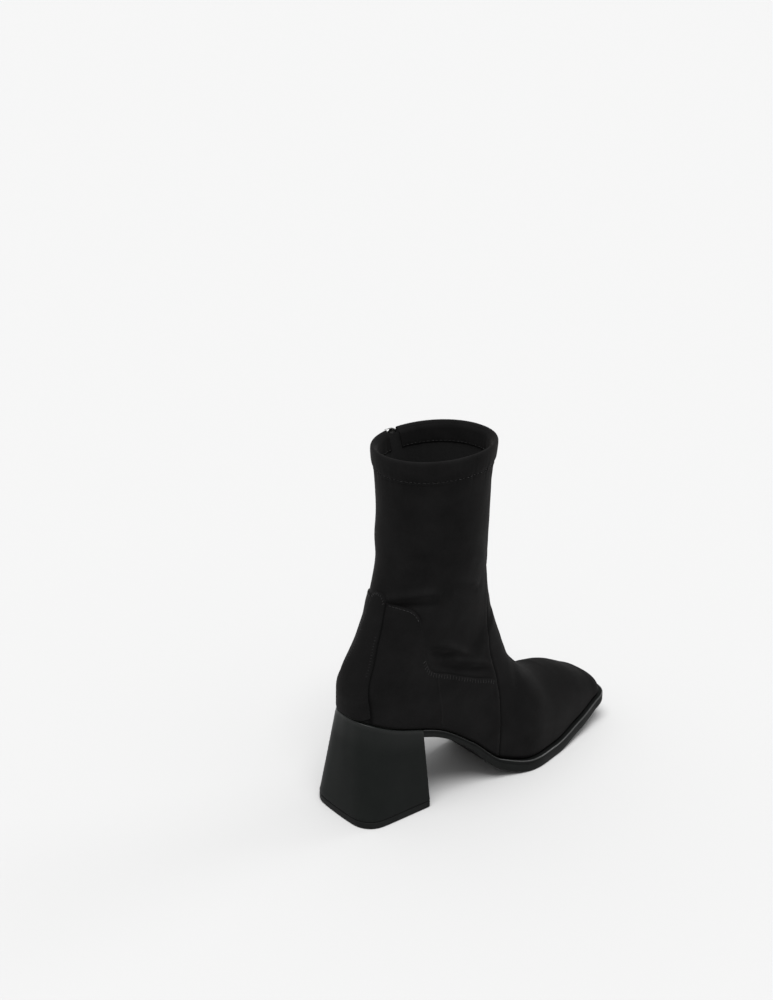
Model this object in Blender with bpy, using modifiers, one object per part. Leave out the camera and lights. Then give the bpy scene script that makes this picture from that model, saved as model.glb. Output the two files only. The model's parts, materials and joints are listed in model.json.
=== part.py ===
"""Heeled ankle boot for the right foot: soft suede on a flared block heel, zipped on its inner side.

Sizes are in millimetres, and MM turns them into metres where a mesh is made. X runs from the back of the
heel to the toe, Y to the wearer's left, which is the inner side of a right boot, and Z up from the floor.
At the end the whole boot is moved so that the origin lies on the floor under the middle of its box.
"""

import math
from collections import namedtuple

import bmesh
import bpy
import numpy as np

MM = 0.001

# Driving dimensions
LENGTH = 240.0  # back of the heel to the tip of the toe
SEAT = 69.5  # height of the heel seat
TOP = 250.0  # height of the upper's edge at the collar, under the folded hem
COLLAR_TILT = 2.3  # how much the collar rises to the front and falls to the back
WALL = 2.0  # suede and lining together
GAP = 0.3  # clearance between pieces that touch
MARGIN = 14.0  # how far the last's form runs on below the footbed

# Sole and heel
WELT_STANDS_OUT = 3.0
MIDSOLE = 3.3
MIDSOLE_WAIST = 2.2
BREAST = 48.0  # front of the heel at its top
HEEL_BACK = -5.7
HEEL_FRONT = 50.0
HEEL_HALF = 32.0
HEEL_CORNER = 15.0
TOP_LIFT = 5.0
INSOLE = 2.6

# Collar hem, overlays and zip
HEM_OUTSIDE = 15.0
HEM_INSIDE = 13.4
HEM_CLOTH = 1.1
HEM_OPENING = 10.4  # between the hem's ends, at the slider
OVERLAY = 1.0
BACKSTAY_TOP = 155.0
ZIP_SLOT = 6.4
TAPE = 0.9
COIL_WIDTH = 3.6
COIL_HEIGHT = 1.3
SLIDER_LENGTH = 11.0
SLIDER_WIDTH = 7.2
SLIDER_HEIGHT = 2.2
SLIDER_DROP = 5.0  # slider's middle below the upper's edge
SLIDER_EDGE = 0.7
BRIDGE_WIDTH = 2.8
BRIDGE_BAR = 1.1
BRIDGE_WINDOW = 2.4  # room for the pull's bar under the bridge
BRIDGE_INSET = 1.0  # from the slider's ends
BRIDGE_SINK = 0.6  # how deep the bridge is set into the slider
BRIDGE_EDGE = 0.6
PULL_LENGTH = 33.0
PULL_WIDTH = 7.6
PULL_PLATE = 1.3
PULL_BAR = 1.5
PULL_PLAY = 0.25
PULL_EDGE = 0.3
PULL_SLOT = (3.8, 9.0)  # width and length

# Height of the footbed, where upper meets sole, along the boot
Bed = namedtuple("Bed", "x z")
FOOTBED = (
    Bed(-12, SEAT + 6.7),
    Bed(0, SEAT + 4.4),
    Bed(30, SEAT - 5.9),
    Bed(62, SEAT - 15.7),
    Bed(90, SEAT - 33.8),
    Bed(115, 15.4),
    Bed(140, 9.4),
    Bed(165, 9.1),
    Bed(200, 14.1),
    Bed(240, 24.2),
)

# Thickness of midsole and outsole together
Edge = namedtuple("Edge", "x thick")
SOLE_EDGE = (
    Edge(48, 6.2),
    Edge(80, 6.0),
    Edge(95, 7.2),
    Edge(108, 8.8),
    Edge(122, 9.6),
    Edge(140, 9.4),
    Edge(170, 9.2),
    Edge(240, 7.4),
)

# Outline of the heel counter and of the foxing that runs on from it to the vamp, seen from the side
Corner = namedtuple("Corner", "x z")
COUNTER = (
    Corner(-20, 150.0),
    Corner(29, 148.5),
    Corner(40, 146.5),
    Corner(44.5, 141.0),
    Corner(47, 122.0),
    Corner(49, 108.0),
    Corner(53, 99.5),
    Corner(71, 92.0),
    Corner(90, 86.0),
    Corner(112, 78.0),
    Corner(113.5, 60.0),
    Corner(113, 40.0),
    Corner(111.5, 20.0),
    Corner(111, 0.0),
    Corner(-20, 40.0),
)

# Half width of the backstay, seen from behind
Stay = namedtuple("Stay", "z half")
BACKSTAY = (Stay(55, 18.2), Stay(75, 18.0), Stay(90, 16.8), Stay(105, 13.8), Stay(120, 10.6), Stay(148, 7.8))

# The zip's line on the inner side
Zip = namedtuple("Zip", "z x")
ZIP_LINE = (
    Zip(43, 104.0),
    Zip(68, 106.5),
    Zip(97, 105.0),
    Zip(135, 97.5),
    Zip(180, 85.5),
    Zip(230, 74.5),
    Zip(256, 69.5),
)


def smooth(xs, ys):
    """A smooth curve through points, as a function of x, that never overshoots them. ys may have columns."""
    xs = np.asarray(xs, float)
    ys = np.asarray(ys, float).reshape(len(xs), -1)
    run = np.diff(xs)[:, None]
    rise = np.diff(ys, axis=0) / run
    slope = np.vstack([rise[:1], np.zeros_like(rise[1:]), rise[-1:]])
    before, after = rise[:-1], rise[1:]
    turns = before * after <= 0
    early, late = 2 * run[1:] + run[:-1], run[1:] + 2 * run[:-1]
    mean = (early + late) / (early / np.where(turns, 1, before) + late / np.where(turns, 1, after))
    slope[1:-1] = np.where(turns, 0, mean)

    def curve(x):
        x = np.asarray(x, float)
        k = np.clip(np.searchsorted(xs, x) - 1, 0, len(run) - 1)
        t = ((x - xs[k]) / run[k, 0])[..., None]
        start = ys[k] * (1 + 2 * t) * (1 - t) ** 2 + run[k] * slope[k] * t * (1 - t) ** 2
        end = ys[k + 1] * t**2 * (3 - 2 * t) - run[k] * slope[k + 1] * t**2 * (1 - t)
        return (start + end)[..., 0] if ys.shape[1] == 1 else start + end

    return curve


footbed = smooth(*zip(*FOOTBED))
sole_edge = smooth(*zip(*SOLE_EDGE))


def under(x):
    """The lowest point of the last's form at x."""
    return float(footbed(x)) - MARGIN


# Sections of the upper from the toe, round the heel, to the collar. Each lies in a plane across the boot,
# from a back or bottom point to a front or top point. outer and inner are its half widths, widest is how far
# from the back it is broadest, the powers shape its back and front half, shift moves it to the inner side,
# and steps is the number of rings up to the next section.
Section = namedtuple(
    "Section", "back_x back_z front_x front_z outer inner widest back_pow front_pow shift steps"
)
SECTIONS = (
    Section(222, under(222), 222, 38.9, 24.2, 23.7, 0.45, 7.0, 2.6, 6.0, 2),
    Section(200, under(200), 200, 49.6, 29.8, 28.6, 0.42, 7.0, 2.4, 5.0, 3),
    Section(165, under(165), 167, 59.2, 34.2, 34.6, 0.40, 7.0, 2.3, 0.0, 2),
    Section(140, under(140), 150, 70.2, 37.8, 33.6, 0.38, 6.0, 2.3, -1.0, 2),
    Section(110, under(110), 135, 88.3, 32.4, 28.6, 0.36, 5.0, 2.4, -1.5, 2),
    Section(80, under(80), 127.5, 107.2, 29.4, 28.2, 0.36, 4.0, 2.6, -1.0, 2),
    Section(40, under(40), 122.5, SEAT + 54, 29.3, 29.3, 0.40, 3.0, 2.8, 0.0, 2),
    Section(10, under(10), 121.1, SEAT + 60, 27.4, 27.4, 0.41, 3.0, 2.9, 0.0, 3),
    Section(2.6, SEAT - 4, 119.9, SEAT + 66, 27.2, 27.2, 0.42, 2.7, 2.9, 0.0, 3),
    Section(2.4, SEAT + 16, 118.6, SEAT + 74, 27.8, 27.8, 0.44, 2.5, 2.8, 0.0, 3),
    Section(17.6, SEAT + 48, 117.2, SEAT + 85, 28.8, 28.8, 0.46, 2.3, 2.5, 0.0, 3),
    Section(30.4, SEAT + 82, 115.8, SEAT + 100, 30.6, 30.6, 0.48, 2.1, 2.2, 0.0, 2),
    Section(37.0, SEAT + 108, 114.6, SEAT + 120, 32.8, 32.8, 0.50, 2.1, 2.1, 0.0, 2),
    Section(37.6, 200, 114.4, 204, 34.2, 34.2, 0.50, 2.1, 2.1, 0.0, 3),
    Section(35.6, TOP - COLLAR_TILT, 118.2, TOP + COLLAR_TILT, 38.3, 38.3, 0.50, 2.1, 2.1, 0.0, 1),
)
RING_POINTS = 36
TOE_RINGS = 6
TOE_BLUNT = 0.22  # how much of the toe's front stays flat, as an angle of its quarter round
TOE_TIP = LENGTH - WELT_STANDS_OUT - 1
TOE_SQUARE = 4.2  # power of the toe's outline from above
TOE_DROP = 2.6  # power of its fall at the front
TOE_EDGE = 3.0  # height of the upper at the very tip
TOE_TAPER = 0.8  # how much of the taper before the toe runs on into it
SHAPE = np.array([row[:-1] for row in SECTIONS])
TRAVEL = np.concatenate(
    [[0], np.cumsum(sum(np.linalg.norm(np.diff(SHAPE[:, k : k + 2], axis=0), axis=1) for k in (0, 2)))]
)
section_at = smooth(TRAVEL, SHAPE)


def ring(section, angles):
    """Points round one section, from its back by the outer side to the front and back by the inner side."""
    back_x, back_z, front_x, front_z, outer, inner, widest, back_pow, front_pow, shift = section
    c, s = np.cos(angles), np.sin(angles)
    power = np.where(c > 0, back_pow, front_pow)
    reach = np.abs(c) ** (2 / power)
    along = np.where(c > 0, widest - widest * reach, widest + (1 - widest) * reach)
    half = np.where(s > 0, outer, inner)
    y = shift - np.sign(s) * half * np.abs(s) ** (2 / power)
    return np.column_stack([back_x + (front_x - back_x) * along, y, back_z + (front_z - back_z) * along])


def toe_section(share):
    """The first section carried on and drawn in towards the toe. share runs from 0 there to 1 at the tip."""
    first, second = SHAPE[:2]
    x = first[0] + (TOE_TIP - first[0]) * share
    made = first + (first - second) * (x - first[0]) / (first[0] - second[0]) * TOE_TAPER
    narrow = (1 - share**TOE_SQUARE) ** (1 / TOE_SQUARE)
    low = (1 - share**TOE_DROP) ** (1 / TOE_DROP)
    edge = float(footbed(x)) + TOE_EDGE
    made[[0, 2]] = x
    made[1] = under(x)
    made[3] = edge + (made[3] - edge) * low
    made[4:6] *= narrow
    made[6:] = first[6:]
    return made


def form(points=RING_POINTS, finer=1):
    """The outside of the upper as rings from the toe's tip to the collar."""
    angles = np.linspace(0, 2 * math.pi, points, endpoint=False)
    shares = np.cos(np.linspace(TOE_BLUNT, math.pi / 2, TOE_RINGS * finer, endpoint=False))
    places = [
        np.linspace(TRAVEL[k], TRAVEL[k + 1], row.steps * finer, endpoint=False)
        for k, row in enumerate(SECTIONS[:-1])
    ]
    sections = [toe_section(s) for s in shares]
    sections += [section_at(t) for t in np.concatenate(places + [TRAVEL[-1:]])]
    return np.array([ring(s, angles) for s in sections])


def offset(rings, distance):
    """The rings moved out along the surface's normals."""
    around = np.roll(rings, -1, axis=1) - np.roll(rings, 1, axis=1)
    normal = np.cross(around, np.gradient(rings, axis=0))
    return rings + distance * normal / np.linalg.norm(normal, axis=2, keepdims=True)


def footline(rings, height=0.0):
    """Where the rings pass a height over the footbed, as x and y on the outer and the inner side."""
    sides = []
    half = rings.shape[1] // 2
    for order in (range(half + 1), [-k for k in range(half + 1)]):
        line = []
        for one in rings[:, list(order)]:
            above = one[:, 2] - footbed(one[:, 0]) - height
            rises = np.flatnonzero((above[:-1] < 0) & (above[1:] >= 0))
            if len(rises):
                k = rises[0]
                t = above[k] / (above[k] - above[k + 1])
                line.append((one[k] + t * (one[k + 1] - one[k]))[:2])
        line = np.array(line)
        sides.append(line[np.argsort(line[:, 0])])
    return sides


def grown(sides, distance):
    """Both sides of an outline moved out by a distance that depends on x."""
    moved = []
    for line, sign in zip(sides, (1, -1)):
        along = np.gradient(line, axis=0)
        out = sign * np.column_stack([along[:, 1], -along[:, 0]])
        out /= np.linalg.norm(out, axis=1, keepdims=True)
        moved.append(line + out * distance(line[:, 0])[:, None])
    return moved


def widths(sides, x):
    """The outline's y on the outer and the inner side at each x."""
    return [np.interp(x, line[:, 0], line[:, 1]) for line in sides]


def stations(start, end, count):
    """Places from start to end, closer together towards both ends."""
    return start + (end - start) * (1 - np.cos(np.linspace(0, math.pi, count))) / 2


# Scene, materials and meshes
for old in list(bpy.data.objects):
    bpy.data.objects.remove(old, do_unlink=True)

parts = bpy.data.collections.new("heeled_ankle_boot")
cutters = bpy.data.collections.new("cutters")
bpy.context.scene.collection.children.link(parts)
bpy.context.scene.collection.children.link(cutters)
root = bpy.data.objects.new("boot_root", None)
parts.objects.link(root)


def material(name, colour, roughness, metallic=0.0):
    made = bpy.data.materials.new(name)
    made.use_nodes = True
    shader = made.node_tree.nodes["Principled BSDF"]
    shader.inputs["Base Color"].default_value = (*colour, 1.0)
    shader.inputs["Roughness"].default_value = roughness
    shader.inputs["Metallic"].default_value = metallic
    return made


SUEDE = material("suede", (0.009, 0.009, 0.009), 0.9)
INSOLE_LEATHER = material("insole_leather", (0.02, 0.02, 0.02), 0.7)
SOLE_RUBBER = material("sole_rubber", (0.012, 0.012, 0.012), 0.45)
HEEL_COAT = material("heel_coat", (0.013, 0.015, 0.014), 0.4)
ZIP_CLOTH = material("zip_cloth", (0.01, 0.01, 0.01), 0.8)
ZIP_PLASTIC = material("zip_plastic", (0.012, 0.012, 0.012), 0.45)
ZIP_METAL = material("zip_metal", (0.8, 0.8, 0.8), 0.2, 1.0)


def place(name, work, finish, at=(0, 0, 0)):
    """Work's mesh as an object with its origin at a place of the boot. With no finish it is a cutter."""
    mesh = bpy.data.meshes.new(name)
    bmesh.ops.recalc_face_normals(work, faces=work.faces)
    work.to_mesh(mesh)
    work.free()
    made = bpy.data.objects.new(name, mesh)
    made.parent = root
    made.location = np.asarray(at, float) * MM
    if finish is None:
        made.hide_render = True
        made.display_type = "WIRE"
        cutters.objects.link(made)
    else:
        mesh.materials.append(finish)
        mesh.shade_smooth()
        mesh.set_sharp_from_angle(angle=math.radians(40))
        parts.objects.link(made)
    return made


def add(name, points, faces, finish=None):
    """An object from points in millimetres and the faces between them."""
    work = bmesh.new()
    corners = [work.verts.new(p) for p in np.asarray(points, float) * MM]
    for face in faces:
        work.faces.new([corners[k] for k in face])
    return place(name, work, finish)


def cut(target, cutter, operation="DIFFERENCE"):
    modifier = target.modifiers.new(f"{operation.lower()}_{cutter.name}", "BOOLEAN")
    modifier.operation = operation
    modifier.object = cutter


def thicken(target, thickness, side):
    modifier = target.modifiers.new("thickness", "SOLIDIFY")
    modifier.thickness = thickness * MM
    modifier.offset = side


def strip_faces(rows, columns, closed):
    """Quads of a grid of rows by columns, whose columns may run round."""
    faces = []
    for i in range(rows - 1):
        for j in range(columns if closed else columns - 1):
            k = (j + 1) % columns
            faces.append((i * columns + j, i * columns + k, (i + 1) * columns + k, (i + 1) * columns + j))
    return faces


def loft(sections):
    """Points and faces of a closed solid through sections of equal point counts, with flat ends."""
    sections = np.asarray(sections)
    rows, columns = sections.shape[:2]
    faces = strip_faces(rows, columns, True)
    faces.append(range(columns))
    faces.append([(rows - 1) * columns + j for j in range(columns)][::-1])
    return sections.reshape(-1, 3), faces


def plate(x, outer, inner, low, high):
    """A solid between two heights along the boot, with its own width at each x."""
    corners = [(outer, low), (inner, low), (inner, high), (outer, high)]
    return loft([[(x[i], y[i], z[i]) for y, z in corners] for i in range(len(x))])


# Upper: a shell on the form, cut open along the footbed and down the zip
outside = form()
rows, columns = outside.shape[:2]
upper_faces = strip_faces(rows, columns, True) + [list(range(columns))[::-1]]
upper = add("upper", outside.reshape(-1, 3), upper_faces, SUEDE)
thicken(upper, WALL, -1)

BED_STATIONS = 127
CUTTER_PAST = 40.0  # how far a cutter runs past what it cuts
bed_x = np.linspace(-CUTTER_PAST, LENGTH + CUTTER_PAST, BED_STATIONS)
bed_half = np.full_like(bed_x, 2 * CUTTER_PAST)
bed_floor = np.full_like(bed_x, -CUTTER_PAST)
below_footbed = add("below_footbed", *plate(bed_x, -bed_half, bed_half, bed_floor, footbed(bed_x)))
cut(upper, below_footbed)

# Zip line on the inner side: points down the surface, each with the way out and the way along
zip_x = smooth(*zip(*ZIP_LINE))
fine = form(240, 3)
ZIP_GUIDES = 12
ZIP_ROWS = 32
INNER_SIDE = slice(fine.shape[1] // 2, fine.shape[1])


def zip_points():
    """Points of the zip's line on the upper, from its lower end to the collar, with their ways out."""
    found = []
    normals = offset(fine, 1.0) - fine
    for one in np.dstack([fine, normals])[:, INNER_SIDE]:
        miss = one[:, 0] - zip_x(np.clip(one[:, 2], ZIP_LINE[0].z, ZIP_LINE[-1].z))
        low, high = one[:-1, 2], one[1:, 2]
        passes = np.flatnonzero((miss[:-1] * miss[1:] <= 0) & (np.minimum(low, high) > ZIP_LINE[0].z))
        for k in passes[:1]:
            share = miss[k] / (miss[k] - miss[k + 1])
            found.append(one[k] + share * (one[k + 1] - one[k]))
    found = np.array(found)
    found = found[np.argsort(found[:, 2])]
    spread = np.linspace(0, len(found) - 1, ZIP_GUIDES).round().astype(int)
    pick = smooth(found[spread, 2], found[spread])
    return pick(np.linspace(found[0, 2], found[-1, 2], ZIP_ROWS))


zip_rows = zip_points()
zip_at = zip_rows[:, :3]
zip_out = zip_rows[:, 3:] / np.linalg.norm(zip_rows[:, 3:], axis=1, keepdims=True)
zip_along = np.gradient(zip_at, axis=0)
zip_along /= np.linalg.norm(zip_along, axis=1, keepdims=True)
zip_across = np.cross(zip_along, zip_out)
zip_across /= np.linalg.norm(zip_across, axis=1, keepdims=True)


def along_zip(half, low, high, start, end):
    """A bar along the zip between two heights over the surface, its ends moved up the zip."""
    line = zip_at.copy()
    line[0] += start * zip_along[0]
    line[-1] += end * zip_along[-1]
    corners = [(-half, low), (half, low), (half, high), (-half, high)]
    return loft(np.stack([line + a * zip_across + h * zip_out for a, h in corners], axis=1))


SLOT_DEPTH = 4.0
SLOT_PAST_EDGE = 15.0
zip_slot = add("zip_slot", *along_zip(ZIP_SLOT / 2, -SLOT_DEPTH, SLOT_DEPTH, 0, SLOT_PAST_EDGE))
cut(upper, zip_slot)

tape_low = GAP - WALL
coil_low = tape_low + TAPE + GAP
coil_high = coil_low + COIL_HEIGHT
add("zip_tape", *along_zip(ZIP_SLOT / 2 - 2 * GAP, tape_low, tape_low + TAPE, 2 * GAP, 0), ZIP_CLOTH)
add("zip_chain", *along_zip(COIL_WIDTH / 2, coil_low, coil_high, 5 * GAP, 0), ZIP_PLASTIC)


# Sole: midsole, whose edge shows as the welt, outsole, heel and top lift
feather = footline(fine)


def welt_reach(x):
    """How far the sole's edge stands out from the upper: hardly at the waist, fully from the ball on."""
    return np.interp(x, (60, 100, 135), (0.4, 1.0, WELT_STANDS_OUT))


def midsole_thickness(x):
    return np.interp(x, (90, 130), (MIDSOLE_WAIST, MIDSOLE))


SOLE_STATIONS = 48
SOLE_START = 0.8  # from the heel's breast
sole_line = grown(feather, welt_reach)
sole_tip = min(line[-1, 0] for line in sole_line)
sole_x = stations(BREAST + SOLE_START, sole_tip, SOLE_STATIONS)
sole_outer, sole_inner = widths(sole_line, sole_x)
midsole_top = footbed(sole_x) - 1.5 * GAP
midsole_low = midsole_top - midsole_thickness(sole_x)
outsole_low = np.maximum(footbed(sole_x) - sole_edge(sole_x), 0.0)
add("midsole", *plate(sole_x, sole_outer, sole_inner, midsole_low, midsole_top), SOLE_RUBBER)
add("outsole", *plate(sole_x, sole_outer, sole_inner, outsole_low, midsole_low - GAP), SOLE_RUBBER)

HEEL_STATIONS = 15
HEEL_LEVELS = 6
HEEL_ROUND = 0.85  # how much the heel's stations crowd towards its back
seat_back = max(line[0, 0] for line in feather)
round_share = 1 - np.cos(np.linspace(0, math.pi / 2, HEEL_STATIONS))
even_share = np.linspace(0, 1, HEEL_STATIONS)
seat_share = HEEL_ROUND * round_share + (1 - HEEL_ROUND) * even_share
seat_x = seat_back + (BREAST - seat_back) * seat_share
seat_outer, seat_inner = widths(feather, seat_x)
base_x = HEEL_BACK + (HEEL_FRONT - HEEL_BACK) * seat_share
base_bend = np.clip(HEEL_CORNER - (base_x - HEEL_BACK), 0, HEEL_CORNER)
base_half = HEEL_HALF - HEEL_CORNER + np.sqrt(HEEL_CORNER**2 - base_bend**2)


def heel_level(share, low):
    """The heel's outline at a share of its height, up the outer side and back on the inner."""
    x = base_x + (seat_x - base_x) * share
    z = low + (footbed(seat_x) - GAP - low) * share
    outer = -base_half + (seat_outer + base_half) * share
    inner = base_half + (seat_inner - base_half) * share
    side = [np.column_stack([x, y, z]) for y in (outer, inner)]
    return np.vstack([side[0], side[1][::-1]])


def block(levels):
    """A solid through outlines whose two sides have the same places, with its ends filled across."""
    levels = np.asarray(levels)
    rows, columns = levels.shape[:2]
    faces = strip_faces(rows, columns, True)
    top = (rows - 1) * columns
    for k in range(columns // 2 - 1):
        faces.append((k, k + 1, columns - 2 - k, columns - 1 - k))
        faces.append((top + k, top + columns - 1 - k, top + columns - 2 - k, top + k + 1))
    return levels.reshape(-1, 3), faces


heel_low = TOP_LIFT + GAP
add("heel_block", *block([heel_level(t, heel_low) for t in np.linspace(0, 1, HEEL_LEVELS)]), HEEL_COAT)
lift = [heel_level(0, z) for z in (0.0, TOP_LIFT)]
add("top_lift", *block(lift), SOLE_RUBBER)

# Insole: fills the bottom of the shell inside its wall
inner_lines = [footline(offset(fine, -WALL - 2 * GAP), h) for h in (0.2, INSOLE / 2, INSOLE)]
INSOLE_SHORT = 3.5  # how far it ends before the toe's wall
insole_start = max(line[0, 0] for sides in inner_lines for line in sides) + 2 * GAP
insole_end = TOE_TIP - WALL - INSOLE_SHORT
insole_x = stations(insole_start, insole_end, SOLE_STATIONS)
insole_sides = [widths(sides, insole_x) for sides in inner_lines]
insole_outer = np.max([sides[0] for sides in insole_sides], axis=0)
insole_inner = np.min([sides[1] for sides in insole_sides], axis=0)
insole_low = footbed(insole_x)
add("insole", *plate(insole_x, insole_outer, insole_inner, insole_low, insole_low + INSOLE), INSOLE_LEATHER)

# Overlays: counters and backstay are cut from a skin that stands on the upper's form
OVERLAY_POINTS = 48
OVERLAY_ROWS = slice(TOE_RINGS + 4, rows - 3)
skin = offset(form(OVERLAY_POINTS), GAP)[OVERLAY_ROWS]


def skin_patch(first, last):
    """Part of the skin between two columns of the rings, counted from the back over the outer side."""
    picked = skin[:, [k % skin.shape[1] for k in range(first, last + 1)]]
    return picked.reshape(-1, 3), strip_faces(picked.shape[0], picked.shape[1], False)


def prism(outline, axis, start, end):
    """A flat outline drawn out along X or Y."""
    column = 0 if axis == "X" else 1
    return loft([np.insert(outline, column, place, axis=1) for place in (start, end)])


def stay_outline(grow):
    """The backstay seen from behind, its sides and its rounded top."""
    half = BACKSTAY[-1].half + grow
    arc = np.linspace(0, math.pi, 9)
    crown = BACKSTAY_TOP - BACKSTAY[-1].z
    top = [(half * math.cos(a), BACKSTAY[-1].z + (crown + grow) * math.sin(a)) for a in arc]
    left = [(row.half + grow, row.z) for row in BACKSTAY[:-1]]
    return np.array(left + top + [(-y, z) for y, z in left[::-1]])


STAY_FRONT = 34.0
stay_zone = add("stay_zone", *prism(stay_outline(GAP / 2), "X", -CUTTER_PAST, STAY_FRONT))
stay_shape = add("stay_shape", *prism(stay_outline(-GAP / 2), "X", -CUTTER_PAST, STAY_FRONT))
counter_outline = np.array(COUNTER)
COUNTER_START = 2.0  # from the boot's middle
BACK_COLUMN = 0
FRONT_COLUMN = skin.shape[1] // 2

for side, sign, first in (("lateral", -1, BACK_COLUMN), ("medial", 1, FRONT_COLUMN)):
    counter = add(f"counter_{side}", *skin_patch(first, first + FRONT_COLUMN), SUEDE)
    thicken(counter, OVERLAY, 1)
    counter_prism = prism(counter_outline, "Y", sign * COUNTER_START, sign * 2 * CUTTER_PAST)
    shape = add(f"counter_shape_{side}", *counter_prism)
    cut(counter, shape, "INTERSECT")
    cut(counter, stay_zone)
    cut(counter, below_footbed)
    if side == "medial":
        cut(counter, zip_slot)

STAY_COLUMNS = 14
backstay = add("backstay", *skin_patch(-STAY_COLUMNS, STAY_COLUMNS), SUEDE)
thicken(backstay, OVERLAY, 1)
cut(backstay, stay_shape, "INTERSECT")
cut(backstay, below_footbed)

# Collar hem: cloth folded over the upper's edge, open at the zip
HEM_INNER = -WALL - GAP
HEM_SWELL = 0.25  # how much fuller it is near the fold
FOLD_START = -2.0
FOLD_SHOULDER = 0.9
HemPoint = namedtuple("HemPoint", "reach rise")
HEM_PROFILE = (
    HemPoint(GAP, -HEM_OUTSIDE),
    HemPoint(GAP + HEM_CLOTH, -HEM_OUTSIDE),
    HemPoint(GAP + HEM_CLOTH + HEM_SWELL, FOLD_START),
    HemPoint(GAP + HEM_CLOTH / 2, FOLD_SHOULDER),
    HemPoint(-WALL / 2, GAP + HEM_CLOTH + HEM_SWELL),
    HemPoint(HEM_INNER - HEM_CLOTH / 2, FOLD_SHOULDER),
    HemPoint(HEM_INNER - HEM_CLOTH - HEM_SWELL, FOLD_START),
    HemPoint(HEM_INNER - HEM_CLOTH, -HEM_INSIDE),
    HemPoint(HEM_INNER, -HEM_INSIDE),
    HemPoint(HEM_INNER, GAP),
    HemPoint(GAP, GAP),
)
HEM_POINTS = 44


def shaft_ring(below, angles):
    """The outside of the shaft at a depth below the upper's edge, or just over it, with its way out."""
    one = ring(section_at(TRAVEL[-1] - 2 * max(below, 0.0)), angles)
    one[:, 2] -= min(below, 0.0)
    way = np.roll(one, -1, axis=0) - np.roll(one, 1, axis=0)
    out = np.column_stack([way[:, 1], -way[:, 0], np.zeros(len(one))])
    out *= np.sign((out * (one - one.mean(axis=0))).sum(axis=1, keepdims=True))
    return one, out / np.linalg.norm(out, axis=1, keepdims=True)


HEM_FINE = 360
hem_angles = np.linspace(0, 2 * math.pi, HEM_FINE, endpoint=False)


def hem_line(reach, rise):
    """A line of the hem round from zip to zip, at a distance out and a rise over the upper's edge."""
    one, out = shaft_ring(-rise, hem_angles)
    inner = np.arange(HEM_FINE // 2 + 1, HEM_FINE)
    middle = inner[np.argmin(np.abs(one[inner, 0] - zip_x(one[inner, 2])))]
    clear = HEM_OPENING / 2 / np.linalg.norm(one[middle] - one[middle - 1])
    places = middle + np.linspace(clear, HEM_FINE - clear, HEM_POINTS)
    low = np.floor(places).astype(int)
    share = (places - low)[:, None]
    line = one + reach * out
    return line[low % HEM_FINE] * (1 - share) + line[(low + 1) % HEM_FINE] * share


add("collar_band", *loft(np.stack([hem_line(*row) for row in HEM_PROFILE], axis=1)), SUEDE)

# Zip slider: a body over the coil with a bridge, in which the pull tab's bar turns
slider_z = TOP - SLIDER_DROP
slider_at, slider_out = (
    np.array([np.interp(slider_z, zip_at[:, 2], column) for column in source.T])
    for source in (zip_at, zip_out)
)
out_flat = slider_out * (1, 1, 0)
out_flat /= np.linalg.norm(out_flat)
zip_turn = math.atan2(-out_flat[0], out_flat[1])


def bar(name, size, middle, at, finish=None, edge=0.0):
    """A box near the slider. size and middle run along the pull's axis, out from the boot and up."""
    work = bmesh.new()
    bmesh.ops.create_cube(work, size=MM)
    bmesh.ops.scale(work, vec=size, verts=work.verts)
    bmesh.ops.translate(work, vec=np.array(middle) * MM, verts=work.verts)
    made = place(name, work, finish, at)
    made.rotation_euler.z = zip_turn
    if edge:
        modifier = made.modifiers.new("edges", "BEVEL")
        modifier.width = edge * MM
        modifier.segments = 2
        modifier.limit_method = "ANGLE"
    return made


body_low = coil_high + 2.5 * GAP
body_top = body_low + SLIDER_HEIGHT
bridge_length = SLIDER_LENGTH - 2 * BRIDGE_INSET
bridge_height = BRIDGE_SINK + BRIDGE_WINDOW + BRIDGE_BAR
bridge_middle = body_top - BRIDGE_SINK + bridge_height / 2
window_length = bridge_length - 2 * BRIDGE_BAR
window_middle = body_top + BRIDGE_WINDOW / 2
slider = bar(
    "zip_slider",
    (SLIDER_WIDTH, SLIDER_HEIGHT, SLIDER_LENGTH),
    (0, (body_low + body_top) / 2, 0),
    slider_at,
    ZIP_METAL,
    SLIDER_EDGE,
)
bridge_size = (BRIDGE_WIDTH, bridge_height, bridge_length)
bridge_block = bar("bridge_block", bridge_size, (0, bridge_middle, 0), slider_at, edge=BRIDGE_EDGE)
window_size = (2 * BRIDGE_WIDTH, BRIDGE_WINDOW, window_length)
bridge_window = bar("bridge_window", window_size, (0, window_middle, 0), slider_at)
cut(slider, bridge_block, "UNION")
cut(slider, bridge_window)

# Pull tab: a flat bar hanging from the bridge, turning on the bar over its slot
pull_up = window_length / 2 - PULL_BAR / 2 - PULL_PLAY
pull_axis = slider_at + window_middle * out_flat + (0, 0, pull_up)
pull = bar(
    "zip_pull",
    (PULL_WIDTH, PULL_PLATE, PULL_LENGTH),
    (0, 0, (PULL_BAR - PULL_LENGTH) / 2),
    pull_axis,
    ZIP_METAL,
    PULL_EDGE,
)
slot_width, slot_length = PULL_SLOT
slot_size = (slot_width, 3 * PULL_PLATE, slot_length)
pull_slot = bar("pull_slot", slot_size, (0, 0, -(PULL_BAR + slot_length) / 2), pull_axis)
cut(pull, pull_slot)


# The origin goes to the floor under the middle of the boot's box
bpy.context.view_layer.update()
graph = bpy.context.evaluated_depsgraph_get()
reach = []
for piece in parts.objects:
    if piece.type == "MESH":
        evaluated = piece.evaluated_get(graph)
        reach += [evaluated.matrix_world @ v.co for v in evaluated.data.vertices]
reach = np.array(reach)
middle = (reach.min(axis=0) + reach.max(axis=0)) / 2
root.location = (-middle[0], -middle[1], 0)
bpy.context.view_layer.update()
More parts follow.
